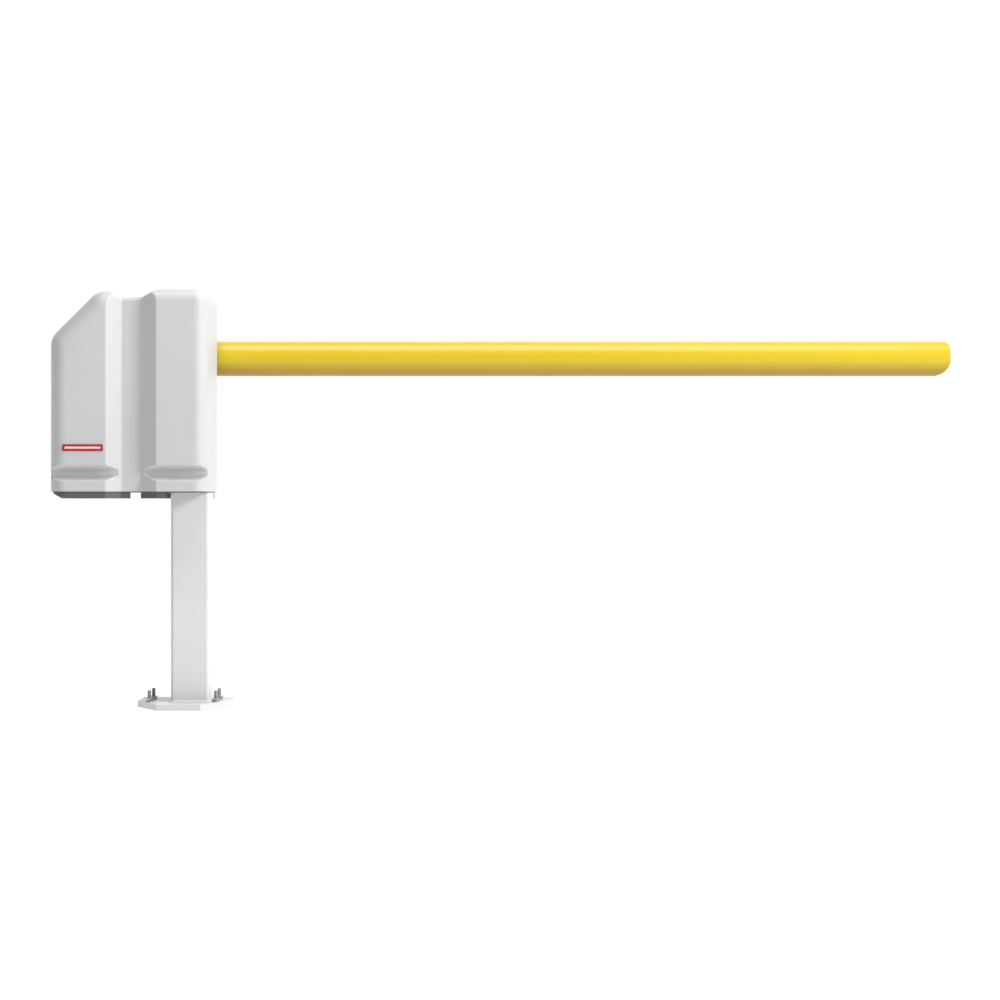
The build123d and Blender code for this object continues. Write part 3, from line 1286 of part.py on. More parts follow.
MOTOR_EXIT_X = WORM_X - MOTOR_R
with BuildPart() as motor_cable:
    with BuildLine() as cable_path:
        FilletPolyline(
            (BOX_RIGHT, GLAND_Y, GLAND_Z),
            (-150.0, GLAND_Y, GLAND_Z),
            (-150.0, WHEEL_Y, 690.0),
            (MOTOR_EXIT_X, WHEEL_Y, 690.0),
            radius=14,
        )
    with BuildSketch(Plane(origin=cable_path.line @ 0, z_dir=cable_path.line % 0)):
        Circle(CABLE_R)
    sweep(path=cable_path.line)
motor_cable.part.label = "motor_cable"
export_step(motor_cable.part, "parts/motor_cable.step")
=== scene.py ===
import json
import math

import bmesh
import bpy
from mathutils import Matrix, Vector

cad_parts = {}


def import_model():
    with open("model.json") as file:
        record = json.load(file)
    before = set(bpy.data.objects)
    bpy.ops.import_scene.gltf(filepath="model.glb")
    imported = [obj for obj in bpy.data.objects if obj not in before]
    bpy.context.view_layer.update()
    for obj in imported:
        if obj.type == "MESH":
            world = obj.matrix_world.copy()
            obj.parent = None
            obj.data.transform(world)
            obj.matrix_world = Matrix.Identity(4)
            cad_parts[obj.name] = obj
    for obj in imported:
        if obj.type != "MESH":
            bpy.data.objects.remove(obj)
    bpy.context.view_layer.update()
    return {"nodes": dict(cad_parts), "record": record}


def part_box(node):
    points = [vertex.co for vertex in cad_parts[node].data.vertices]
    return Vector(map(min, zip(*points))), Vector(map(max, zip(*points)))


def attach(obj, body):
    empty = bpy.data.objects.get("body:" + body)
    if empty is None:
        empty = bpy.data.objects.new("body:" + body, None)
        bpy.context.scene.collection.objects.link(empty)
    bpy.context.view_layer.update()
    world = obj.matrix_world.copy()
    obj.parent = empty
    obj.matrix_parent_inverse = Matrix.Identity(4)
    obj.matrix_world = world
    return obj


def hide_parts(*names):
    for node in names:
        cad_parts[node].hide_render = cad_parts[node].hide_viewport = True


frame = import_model()
nodes = frame["nodes"]

MM = 0.001

# the output shaft's axis, which the arm swings about, in metres
SHAFT_X, SHAFT_Z = -0.030, 0.925


# ---------------------------------------------------------------- material building blocks

# most of a noise pattern lies between these values
PATTERN_LOW, PATTERN_HIGH = 0.3, 0.7

# a mix node's colour sockets share their names with its other sockets, so they go by number
MIX_FIRST, MIX_SECOND, MIX_RESULT = 6, 7, 2


class Paint:
    """A node material under construction: a shader, object coordinates and a few helpers."""

    def __init__(self, name, color, roughness, metallic=0.0):
        self.material = bpy.data.materials.new(name)
        self.material.use_nodes = True
        self.material.diffuse_color = (*color, 1.0)
        self.tree = self.material.node_tree
        self.shader = self.tree.nodes["Principled BSDF"]
        self.color = color
        self.set("Base Color", (*color, 1.0))
        self.set("Roughness", roughness)
        self.set("Metallic", metallic)
        self.where = self.tree.nodes.new("ShaderNodeTexCoord").outputs["Object"]
        self.relief = None

    def set(self, socket, value):
        self.shader.inputs[socket].default_value = value

    def link(self, output, target):
        self.tree.links.new(output, target)

    def scaled(self, scale):
        """Object coordinates stretched by a scale for each axis."""
        mapping = self.tree.nodes.new("ShaderNodeMapping")
        mapping.inputs["Scale"].default_value = scale
        self.link(self.where, mapping.inputs["Vector"])
        return mapping.outputs["Vector"]

    def noise(self, scale, detail=4.0, rough=0.55, stretch=(1, 1, 1)):
        texture = self.tree.nodes.new("ShaderNodeTexNoise")
        texture.inputs["Scale"].default_value = scale
        texture.inputs["Detail"].default_value = detail
        texture.inputs["Roughness"].default_value = rough
        self.link(self.scaled(stretch), texture.inputs["Vector"])
        return texture.outputs["Fac"]

    def cells(self, scale, feature="F1", output="Distance"):
        texture = self.tree.nodes.new("ShaderNodeTexVoronoi")
        texture.feature = feature
        texture.inputs["Scale"].default_value = scale
        self.link(self.where, texture.inputs["Vector"])
        return texture.outputs[output]

    def bands(self, scale, distortion=0.0):
        """Straight bands that follow each other along the Y axis."""
        texture = self.tree.nodes.new("ShaderNodeTexWave")
        texture.bands_direction = "Y"
        texture.inputs["Scale"].default_value = scale
        texture.inputs["Distortion"].default_value = distortion
        texture.inputs["Detail"].default_value = 1.0
        self.link(self.where, texture.inputs["Vector"])
        return texture.outputs["Fac"]

    def rings(self, scale):
        """Rings about the Y axis."""
        texture = self.tree.nodes.new("ShaderNodeTexWave")
        texture.wave_type = "RINGS"
        texture.rings_direction = "Y"
        texture.inputs["Scale"].default_value = scale
        self.link(self.where, texture.inputs["Vector"])
        return texture.outputs["Fac"]

    def remap(self, value, low, high, from_low, from_high):
        node = self.tree.nodes.new("ShaderNodeMapRange")
        node.inputs["From Min"].default_value = from_low
        node.inputs["From Max"].default_value = from_high
        node.inputs["To Min"].default_value = low
        node.inputs["To Max"].default_value = high
        self.link(value, node.inputs["Value"])
        return node.outputs["Result"]

    def blend_color(self, factor, first, second):
        """Mixes two colours, or a colour and another node's output, by a factor."""
        node = self.tree.nodes.new("ShaderNodeMix")
        node.data_type = "RGBA"
        self.link(factor, node.inputs["Factor"])
        for socket, value in ((node.inputs[MIX_FIRST], first), (node.inputs[MIX_SECOND], second)):
            if isinstance(value, tuple):
                socket.default_value = (*value, 1.0)
            else:
                self.link(value, socket)
        return node.outputs[MIX_RESULT]

    def tint(self, factor, shade, start, end):
        """Lays a second colour over the base where a pattern is high, fully from end upwards."""
        share = self.remap(factor, 0.0, 1.0, start, end)
        socket = self.shader.inputs["Base Color"]
        under = socket.links[0].from_socket if socket.is_linked else self.color
        self.link(self.blend_color(share, under, shade), socket)

    def vary_roughness(self, pattern, low, high):
        roughness = self.remap(pattern, low, high, PATTERN_LOW, PATTERN_HIGH)
        self.link(roughness, self.shader.inputs["Roughness"])

    def bump(self, pattern, depth, strength):
        """Adds relief of a depth in metres; several calls stack up."""
        node = self.tree.nodes.new("ShaderNodeBump")
        node.inputs["Strength"].default_value = strength
        node.inputs["Distance"].default_value = depth
        self.link(pattern, node.inputs["Height"])
        if self.relief is not None:
            self.link(self.relief, node.inputs["Normal"])
        self.relief = node.outputs["Normal"]
        self.link(self.relief, self.shader.inputs["Normal"])

    def coordinate(self, axis):
        split = self.tree.nodes.new("ShaderNodeSeparateXYZ")
        self.link(self.where, split.inputs["Vector"])
        return split.outputs[axis]

    def between_heights(self, start_z, end_z):
        """Runs from 0 at one height to 1 at another, which may be the lower of the two."""
        return self.remap(self.coordinate("Z"), 0.0, 1.0, start_z, end_z)

    def within(self, axis, middle, reach):
        """1 inside a reach of a middle along one axis, in metres, and 0 outside it."""
        node = self.tree.nodes.new("ShaderNodeMath")
        node.operation = "COMPARE"
        self.link(self.coordinate(axis), node.inputs[0])
        node.inputs[1].default_value = middle
        node.inputs[2].default_value = reach
        return node.outputs["Value"]

    def times(self, first, second):
        node = self.tree.nodes.new("ShaderNodeMath")
        node.operation = "MULTIPLY"
        self.link(first, node.inputs[0])
        self.link(second, node.inputs[1])
        return node.outputs["Value"]


def darker(color, share):
    return tuple(c * share for c in color)


# ---------------------------------------------------------------- materials

# dust on the post: where it is full, where it ends, in metres, and its colour
GROUND_DUST = (0.0, 0.12, (0.6, 0.585, 0.56))

# colour of the shade painted along the arm's underside
ARM_UNDERSIDE_SHADE = (0.32, 0.17, 0.006)

# the plain stripe across the badge, in metres
STRIPE_X, STRIPE_Z = -0.2665, 0.679
STRIPE_HALF_WIDTH, STRIPE_HALF_HEIGHT = 0.046, 0.0026
STRIPE_WHITE = (0.72, 0.7, 0.7)


def roto_plastic(name, color):
    """Roto-moulded polyethylene: a soft satin skin with a fine leathery grain."""
    paint = Paint(name, color, roughness=0.42)
    paint.tint(paint.noise(3.0, detail=5.0), darker(color, 0.965), start=0.42, end=0.72)
    paint.tint(paint.noise(40.0, detail=6.0, rough=0.7), darker(color, 0.94), start=0.58, end=0.86)
    paint.vary_roughness(paint.noise(14.0), low=0.36, high=0.5)
    paint.bump(paint.noise(520.0, detail=3.0), depth=0.16 * MM, strength=0.35)
    paint.bump(paint.noise(9.0, detail=2.0), depth=1.2 * MM, strength=0.25)
    paint.set("Specular IOR Level", 0.42)
    paint.set("Subsurface Weight", 0.04)
    paint.set("Subsurface Radius", (0.004, 0.004, 0.004))
    return paint.material


def powder_coat(name, color, grain=420.0, roughness=0.38, dust=None):
    """Powder-coated steel: orange-peel relief, faint mottling and, where asked, dust near the ground."""
    paint = Paint(name, color, roughness)
    paint.tint(paint.noise(6.0, detail=5.0), darker(color, 0.95), start=0.4, end=0.75)
    if dust:
        low, high, shade = dust
        near_ground = paint.between_heights(high, low)
        patches = paint.times(near_ground, paint.noise(38.0, detail=8.0, rough=0.7))
        paint.tint(patches, shade, start=0.3, end=0.8)
    paint.vary_roughness(paint.noise(22.0), low=roughness - 0.06, high=roughness + 0.1)
    paint.bump(paint.noise(grain, detail=2.0), depth=0.22 * MM, strength=0.5)
    return paint.material


def galvanised(name, color):
    """Hot-dip zinc: crystal spangle in grey tones."""
    paint = Paint(name, color, roughness=0.42, metallic=0.85)
    spangle = paint.cells(125.0, output="Color")
    grey = paint.tree.nodes.new("ShaderNodeRGBToBW")
    paint.link(spangle, grey.inputs["Color"])
    paint.tint(grey.outputs["Val"], darker(color, 0.84), start=0.2, end=0.8)
    paint.vary_roughness(grey.outputs["Val"], low=0.34, high=0.5)
    paint.bump(paint.noise(160.0), depth=0.1 * MM, strength=0.4)
    return paint.material


def zinc_fastener(name, color):
    """Zinc-plated fasteners with a dull bloom and darker specks."""
    paint = Paint(name, color, roughness=0.34, metallic=0.95)
    paint.tint(paint.noise(90.0, detail=6.0), darker(color, 0.6), start=0.5, end=0.75)
    paint.tint(paint.noise(300.0, detail=3.0), (0.42, 0.36, 0.24), start=0.64, end=0.85)
    paint.vary_roughness(paint.noise(120.0), low=0.26, high=0.46)
    paint.bump(paint.noise(600.0), depth=0.08 * MM, strength=0.5)
    return paint.material


def machined_steel(name, color):
    """Ground or turned steel: fine tool lines round the axis and a thin oil film."""
    paint = Paint(name, color, roughness=0.26, metallic=1.0)
    lines = paint.bands(260.0, distortion=0.6)
    paint.tint(paint.noise(30.0), darker(color, 0.8), start=0.4, end=0.8)
    paint.vary_roughness(paint.noise(50.0), low=0.2, high=0.36)
    paint.bump(lines, depth=0.04 * MM, strength=0.4)
    paint.set("Coat Weight", 0.15)
    return paint.material


def worm_bronze(name, color):
    """Cast and turned bronze with a browned skin between the teeth."""
    paint = Paint(name, color, roughness=0.3, metallic=1.0)
    paint.tint(paint.noise(45.0, detail=6.0), (0.34, 0.2, 0.08), start=0.48, end=0.8)
    paint.vary_roughness(paint.noise(80.0), low=0.24, high=0.44)
    paint.bump(paint.rings(200.0), depth=0.04 * MM, strength=0.4)
    return paint.material


def casting(name, color, metallic=0.3):
    """Painted casting with a sandy skin."""
    paint = Paint(name, color, roughness=0.55, metallic=metallic)
    paint.tint(paint.noise(18.0, detail=6.0), darker(color, 0.75), start=0.45, end=0.75)
    paint.vary_roughness(paint.noise(35.0), low=0.46, high=0.66)
    paint.bump(paint.noise(260.0, detail=5.0, rough=0.7), depth=0.5 * MM, strength=0.6)
    return paint.material


def moulded_plastic(name, color, roughness=0.45, gloss=False):
    """Injection-moulded plastic with spark-eroded grain, or a smooth glossy skin."""
    paint = Paint(name, color, roughness)
    paint.tint(paint.noise(12.0), darker(color, 0.88), start=0.4, end=0.8)
    paint.vary_roughness(paint.noise(60.0), low=roughness - 0.07, high=roughness + 0.08)
    grain = 60.0 if gloss else 1400.0
    paint.bump(paint.noise(grain, detail=2.0), depth=0.06 * MM, strength=0.4)
    if gloss:
        paint.set("Coat Weight", 0.3)
        paint.set("Coat Roughness", 0.12)
    return paint.material


def arm_pvc(name, color):
    """Extruded yellow PVC: faint draw lines along the tube, a soft gloss, light scuffs and a painted shade
    along its underside.
    """
    paint = Paint(name, color, roughness=0.3)
    draw_lines = paint.noise(60.0, detail=2.0, rough=0.5, stretch=(0.02, 1.0, 1.0))
    paint.tint(draw_lines, darker(color, 0.96), start=0.45, end=0.8)
    paint.tint(paint.noise(4.0, detail=4.0), darker(color, 0.97), start=0.45, end=0.75)
    # painted shade: the tube darkens from just below its axis down to its underside
    painted_shade_below = paint.between_heights(SHAFT_Z - 8 * MM, SHAFT_Z - 46 * MM)
    paint.tint(painted_shade_below, ARM_UNDERSIDE_SHADE, start=0.0, end=1.0)
    paint.vary_roughness(paint.noise(8.0, detail=3.0), low=0.3, high=0.38)
    paint.bump(draw_lines, depth=0.05 * MM, strength=0.15)
    paint.bump(paint.noise(700.0, detail=2.0), depth=0.03 * MM, strength=0.2)
    paint.set("Specular IOR Level", 0.36)
    paint.set("Coat Weight", 0.3)
    paint.set("Coat Roughness", 0.3)
    return paint.material


def badge_enamel(name, color):
    """A glossy red badge with one plain white stripe across its middle."""
    paint = Paint(name, color, roughness=0.28)
    paint.tint(paint.noise(30.0), darker(color, 0.85), start=0.4, end=0.8)
    stripe = paint.times(
        paint.within("Z", STRIPE_Z, STRIPE_HALF_HEIGHT), paint.within("X", STRIPE_X, STRIPE_HALF_WIDTH)
    )
    paint.tint(stripe, STRIPE_WHITE, start=0.0, end=1.0)
    paint.vary_roughness(paint.noise(60.0), low=0.24, high=0.34)
    paint.bump(paint.noise(60.0, detail=2.0), depth=0.04 * MM, strength=0.3)
    paint.set("Coat Weight", 0.25)
    paint.set("Coat Roughness", 0.15)
    return paint.material


def rubber(name, color):
    paint = Paint(name, color, roughness=0.72)
    paint.tint(paint.noise(90.0, detail=5.0), (0.075, 0.075, 0.078), start=0.5, end=0.8)
    paint.vary_roughness(paint.noise(70.0), low=0.64, high=0.82)
    paint.bump(paint.noise(900.0), depth=0.12 * MM, strength=0.5)
    return paint.material


def chrome(name, color):
    paint = Paint(name, color, roughness=0.1, metallic=1.0)
    paint.vary_roughness(paint.noise(140.0), low=0.07, high=0.18)
    paint.tint(paint.noise(200.0), darker(color, 0.85), start=0.55, end=0.85)
    paint.bump(paint.noise(80.0), depth=0.03 * MM, strength=0.3)
    return paint.material


def circuit_board(name, color):
    """Solder mask with tracks that show through as slightly lighter lines."""
    paint = Paint(name, color, roughness=0.3)
    tracks = paint.cells(170.0, "DISTANCE_TO_EDGE")
    paint.tint(tracks, darker(color, 0.55), start=0.02, end=0.06)
    paint.tint(paint.noise(20.0), darker(color, 0.8), start=0.4, end=0.8)
    paint.bump(tracks, depth=0.05 * MM, strength=0.4)
    paint.set("Coat Weight", 0.4)
    return paint.material


def laminated_core(name, color):
    """A stack of varnished steel sheets, seen as fine lines."""
    paint = Paint(name, color, roughness=0.5, metallic=0.7)
    sheets = paint.bands(330.0)
    paint.tint(sheets, darker(color, 0.45), start=0.5, end=0.9)
    paint.vary_roughness(paint.noise(60.0), low=0.42, high=0.6)
    paint.bump(sheets, depth=0.2 * MM, strength=0.6)
    return paint.material


def battery_abs(name, color):
    paint = Paint(name, color, roughness=0.4)
    paint.tint(paint.noise(8.0), darker(color, 0.8), start=0.4, end=0.75)
    paint.vary_roughness(paint.noise(30.0), low=0.34, high=0.5)
    paint.bump(paint.noise(1100.0), depth=0.08 * MM, strength=0.5)
    return paint.material


MAKERS = {
    "cover_plastic": lambda n: roto_plastic(n, (0.558, 0.567, 0.57)),
    "badge_red": lambda n: badge_enamel(n, (0.5, 0.01, 0.028)),
    "white_paint": lambda n: powder_coat(n, (0.69, 0.7, 0.71), dust=GROUND_DUST),
    "dark_paint": lambda n: powder_coat(n, (0.105, 0.108, 0.108), grain=300.0, roughness=0.46),
    "frame_paint": lambda n: powder_coat(n, (0.045, 0.048, 0.052), grain=360.0, roughness=0.42),
    "galvanised": lambda n: galvanised(n, (0.55, 0.57, 0.585)),
    "fastener_zinc": lambda n: zinc_fastener(n, (0.42, 0.43, 0.45)),
    "bright_steel": lambda n: machined_steel(n, (0.56, 0.57, 0.585)),
    "bronze": lambda n: worm_bronze(n, (0.6, 0.36, 0.12)),
    "cast_grey": lambda n: casting(n, (0.1, 0.115, 0.13)),
    "motor_black": lambda n: powder_coat(n, (0.018, 0.018, 0.02), grain=300.0, roughness=0.34),
    "cast_alloy": lambda n: casting(n, (0.42, 0.43, 0.44), metallic=0.9),
    "lock_chrome": lambda n: chrome(n, (0.66, 0.67, 0.69)),
    "arm_yellow": lambda n: arm_pvc(n, (0.62, 0.45, 0.014)),
    "black_rubber": lambda n: rubber(n, (0.018, 0.018, 0.019)),
    "black_plastic": lambda n: moulded_plastic(n, (0.02, 0.02, 0.022)),
    "button_red": lambda n: moulded_plastic(n, (0.4, 0.015, 0.01), roughness=0.32, gloss=True),
    "box_grey": lambda n: moulded_plastic(n, (0.26, 0.275, 0.29), roughness=0.5),
    "board_green": lambda n: circuit_board(n, (0.008, 0.09, 0.032)),
    "terminal_grey": lambda n: moulded_plastic(n, (0.11, 0.17, 0.13)),
    "core_steel": lambda n: laminated_core(n, (0.2, 0.17, 0.15)),
    "battery_case": lambda n: battery_abs(n, (0.03, 0.032, 0.038)),
}
materials = {slot: maker(slot) for slot, maker in MAKERS.items()}

for part in frame["record"]["subparts"]:
    node = nodes[part["node"]]
    node.data.materials.clear()
    node.data.materials.append(materials[part["material_slot"]])


# ---------------------------------------------------------------- edge rounding on the CAD meshes

MERGE_DISTANCE = 0.01 * MM
FLAT_ANGLE = math.radians(0.3)
CORNER_ANGLE = math.radians(32)


def soften(node_name, width):
    """Rounds a node's sharp edges with modifiers, which leave its own mesh alone."""
    node = nodes[node_name]
    weld = node.modifiers.new("weld", "WELD")
    weld.merge_threshold = MERGE_DISTANCE
    flat = node.modifiers.new("flat", "DECIMATE")
    flat.decimate_type = "DISSOLVE"
    flat.angle_limit = FLAT_ANGLE
    bevel = node.modifiers.new("bevel", "BEVEL")
    bevel.width = width
    bevel.segments = 2
    bevel.limit_method = "ANGLE"
    bevel.angle_limit = CORNER_ANGLE
    bevel.harden_normals = True
    bevel.use_clamp_overlap = True


# edge widths in millimetres
EDGE_WIDTHS = {
    1.2: ("base_plate", "post_cap", "drive_upright", "motor_bracket", "gearbox_case", "gearbox_cover",
          "arm_hub", "stop_lever", "stop_posts"),
    1.5: ("hand_wheel", "control_box", "switch_box", "batteries", "transformer"),
    0.6: ("chassis_pan", "back_sheet", "arm_saddle", "shaft_coupling", "battery_tray", "terminal_strip",
          "board_parts", "lock_keeper", "lock_cam", "switch_bracket", "limit_switches", "motor_can",
          "anchor_nuts", "u_bolt_nuts", "post_bolts", "anchor_washers", "arm_rear_cap", "reset_button",
          "power_rocker", "rubber_bumpers", "control_lid"),
}
for edge_width, names in EDGE_WIDTHS.items():
    for name in names:
        soften(name, edge_width * MM)


# ---------------------------------------------------------------- helpers for detail pieces

def piece(name, bm, slot_name, body, smooth_angle=35.0):
    """Turns a bmesh in the part's frame into a finished piece that rides on one CAD body."""
    bmesh.ops.recalc_face_normals(bm, faces=bm.faces)
    sharp = math.radians(smooth_angle)
    for face in bm.faces:
        face.smooth = True
    for edge in bm.edges:
        edge.smooth = len(edge.link_faces) == 2 and edge.calc_face_angle(0.0) < sharp
    mesh = bpy.data.meshes.new(name)
    bm.to_mesh(mesh)
    bm.free()
    mesh.materials.append(materials[slot_name])
    obj = bpy.data.objects.new(name, mesh)
    bpy.context.scene.collection.objects.link(obj)
    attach(obj, body)
    return obj


def frame_at(origin, axis):
    """Placement whose local Z points along an axis."""
    turn = Vector(axis).to_track_quat("Z", "Y").to_matrix().to_4x4()
    return Matrix.Translation(Vector(origin)) @ turn


def polar(radius, angle, height):
    """Point at a radius and an angle round the local Z axis."""
    return Vector((radius * math.cos(angle), radius * math.sin(angle), height))


def join_rings(bm, low, high):
    """Adds the band of faces between two rings of as many points."""
    for step in range(len(low)):
        after = (step + 1) % len(low)
        bm.faces.new((low[step], low[after], high[after], high[step]))


def lathe(bm, profile, placement, steps):
    """Adds a body of revolution; profile is (radius, height) pairs along local Z."""
    rings = []
    for radius, height in profile:
        if radius == 0:
            rings.append([bm.verts.new(placement @ Vector((0, 0, height)))])
            continue
        ring = []
        for step in range(steps):
            turn = 2 * math.pi * step / steps
            ring.append(bm.verts.new(placement @ polar(radius, turn, height)))
        rings.append(ring)
    for low, high in zip(rings, rings[1:]):
        for step in range(steps):
            after = (step + 1) % steps
            corners = [low[step % len(low)], low[after % len(low)],
                       high[after % len(high)], high[step % len(high)]]
            unique = list(dict.fromkeys(corners))
            if len(unique) > 2:
                bm.faces.new(unique)


def block(bm, low, high, bevel):
    """Adds a box between two corners, its edges rounded."""
    size = [b - a for a, b in zip(low, high)]
    middle = [(a + b) / 2 for a, b in zip(low, high)]
    made = bmesh.ops.create_cube(bm, size=1.0)["verts"]
    for vert in made:
        vert.co = Vector([m + c * s for m, c, s in zip(middle, vert.co, size)])
    edges = {edge for vert in made for edge in vert.link_edges}
    bmesh.ops.bevel(bm, geom=list(edges), offset=bevel, segments=3, profile=0.5, affect="EDGES")


def pan_screw(bm, origin, axis, radius, depth, slot_turn):
    """Adds a domed screw head whose top is closed by a dished, four-pointed recess."""
    placement = frame_at(origin, axis)
    steps, dome_rows = 28, 6
    side, crown, inward = 0.35, 0.65, 0.42
    star_core, star_arm = 0.16, 0.3
    rim_radius = radius * 0.5
    recess_floor = depth * 0.45
    dome = [(radius, 0.0), (radius, depth * side)]
    for row in range(1, dome_rows):
        rise = math.sin(math.radians(90) * row / dome_rows)
        dome.append((radius * (1 - inward * rise), depth * (side + crown * rise)))
    dome.append((rim_radius, depth))
    lathe(bm, dome, placement, steps)
    rim, recess = [], []
    for step in range(steps):
        turn = 2 * math.pi * step / steps
        star = radius * (star_core + star_arm * abs(math.cos(2 * (turn + slot_turn))) ** 3)
        rim.append(bm.verts.new(placement @ polar(rim_radius, turn, depth)))
        recess.append(bm.verts.new(placement @ polar(star, turn, recess_floor)))
    join_rings(bm, rim, recess)
    bm.faces.new(recess)


def threaded_rod(bm, origin, axis, radius, pitch, length, depth, chamfer):
    """Adds a rod with a real helical thread and a chamfered far end."""
    placement = frame_at(origin, axis)
    steps, rows_per_pitch = 24, 6
    # flanks steepened by this much leave narrow flats at crest and root
    steepness, crest_flat = 1.35, 0.15
    rows = int(length / pitch * rows_per_pitch)
    grid = []
    for row in range(rows + 1):
        height = length * row / rows
        ring = []
        for step in range(steps):
            turn = step / steps
            phase = (height / pitch - turn) % 1.0
            crest = abs(2 * phase - 1)
            local = radius - depth * max(0.0, min(1.0, steepness * crest - crest_flat))
            local = min(local, radius - chamfer + (length - height))
            angle = 2 * math.pi * turn
            ring.append(bm.verts.new(placement @ polar(local, angle, height)))
        grid.append(ring)
    for low, high in zip(grid, grid[1:]):
        join_rings(bm, low, high)
    bm.faces.new(grid[0][::-1])
    bm.faces.new(grid[-1])


# ---------------------------------------------------------------- base: threads and weld

STUD_R, STUD_PITCH = 5 * MM, 1.5 * MM
THREAD_DEPTH, STUD_CHAMFER = 0.75 * MM, 1.2 * MM


def anchor_threads():
    """Rolled threads on the four anchor studs."""
    low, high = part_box("anchor_studs")
    length = high[2] - low[2]
    bm = bmesh.new()
    for x in (low[0] + STUD_R, high[0] - STUD_R):
        for y in (low[1] + STUD_R, high[1] - STUD_R):
            foot = (x, y, low[2])
            threaded_rod(bm, foot, (0, 0, 1), STUD_R, STUD_PITCH, length, THREAD_DEPTH, STUD_CHAMFER)
    obj = piece("anchor_stud_threads", bm, "fastener_zinc", "chassis", smooth_angle=60.0)
    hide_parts("anchor_studs")


POST_CORNER_R = 9 * MM

# the bead's ripples and the slower wander of its leg: their lengths, and their shares of the leg
RIPPLE_LENGTH, WANDER_LENGTH = 3.6 * MM, 17 * MM
MEAN_REACH, RIPPLE_SHARE, WANDER_SHARE = 0.86, 0.11, 0.02


def weld_path(straight):
    """Points round the post's foot, each with its outward direction; straight is half a flat side."""
    arc_steps = 8
    spacing, shortest_side = 0.5 * MM, 10 * MM
    corners = []
    for quarter in range(4):
        turn = math.radians(90) * quarter
        centre_x = straight * (math.cos(turn) - math.sin(turn))
        centre_y = straight * (math.sin(turn) + math.cos(turn))
        for step in range(arc_steps + 1):
            angle = turn + math.radians(90) * step / arc_steps
            out = Vector((math.cos(angle), math.sin(angle), 0))
            corners.append((Vector((centre_x, centre_y, 0)) + out * POST_CORNER_R, out))
    path = []
    for index, (foot, out) in enumerate(corners):
        path.append((foot, out))
        after = corners[(index + 1) % len(corners)][0]
        if (after - foot).length > shortest_side:
            count = int((after - foot).length / spacing)
            path.extend((foot.lerp(after, share / count), out) for share in range(1, count))
    return path


def weld_bead():
    """Fillet weld round the post's foot, laid in overlapping ripples."""
    low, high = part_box("post_weld")
    half = (high[0] - low[0]) / 2
    leg = high[2] - low[2]
    path = weld_path(half - leg - POST_CORNER_R)
    sections = 9
    bulge = 0.05
    # the bead's face is fullest at both toes and flattest half-way between them
    fullness, toe_share, toe_power = 0.80, 0.2, 1.5
    travelled = 0.0
    bm = bmesh.new()
    rings = []
    for index, (foot, out) in enumerate(path):
        if index:
            travelled += (foot - path[index - 1][0]).length
        ripple = math.sin(math.pi * ((travelled / RIPPLE_LENGTH) % 1.0))
        wander = math.sin(travelled / WANDER_LENGTH)
        reach = leg * (MEAN_REACH + RIPPLE_SHARE * ripple + WANDER_SHARE * wander)
        ring = []
        for section in range(sections):
            angle = math.radians(90) * section / (sections - 1)
            swell = 1.0 + bulge * math.sin(2 * angle) * ripple
            flat = fullness + toe_share * abs(math.cos(2 * angle)) ** toe_power
            outward = min(reach * swell * math.cos(angle) * flat, leg)
            upward = min(reach * swell * math.sin(angle) * flat, leg)
            ring.append(bm.verts.new(foot + out * outward + Vector((0, 0, low[2] + upward))))
        rings.append(ring)
    for index, ring in enumerate(rings):
        after = rings[(index + 1) % len(rings)]
        for section in range(sections - 1):
            bm.faces.new((ring[section], ring[section + 1], after[section + 1], after[section]))
    obj = piece("post_weld_bead", bm, "white_paint", "chassis", smooth_angle=60.0)
    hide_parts("post_weld")


# ---------------------------------------------------------------- back sheet and control box lid

SHEET_T = 3 * MM

# the back sheet's screws as (x, z) in metres: two down the left edge, two along the top, two down the
# right edge, two along the foot and one in the middle
SHEET_SCREWS = [
    (-0.335, 0.62), (-0.335, 0.90), (-0.225, 1.04), (0.030, 1.04), (0.030, 0.78),
    (0.030, 0.60), (-0.09, 0.60), (-0.20, 0.60), (-0.125, 0.84),
]


def back_screws():
    """Pan-head screws that hold the back sheet to its frame and to the pan."""
    bm = bmesh.new()
    face_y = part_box("back_sheet")[0][1] + SHEET_T
    head_r, head_h = 4.2 * MM, 2.6 * MM
    for index, (x, z) in enumerate(SHEET_SCREWS):
        pan_screw(bm, (x, face_y, z), (0, 1, 0), head_r, head_h, index * 0.7)
    piece("back_sheet_screws", bm, "fastener_zinc", "chassis")


def lid_screws():
    """Captive screws in the corners of the control box lid."""
    low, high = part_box("control_lid")
    inset = 9 * MM
    head_r, head_h = 3.6 * MM, 2.2 * MM
    left, right = low[0] + inset, high[0] - inset
    foot, top = low[2] + inset, high[2] - inset
    bm = bmesh.new()
    for index, (x, z) in enumerate([(left, foot), (right, foot), (left, top), (right, top)]):
        pan_screw(bm, (x, low[1], z), (0, -1, 0), head_r, head_h, index * 0.9)
    piece("control_lid_screws", bm, "fastener_zinc", "chassis")


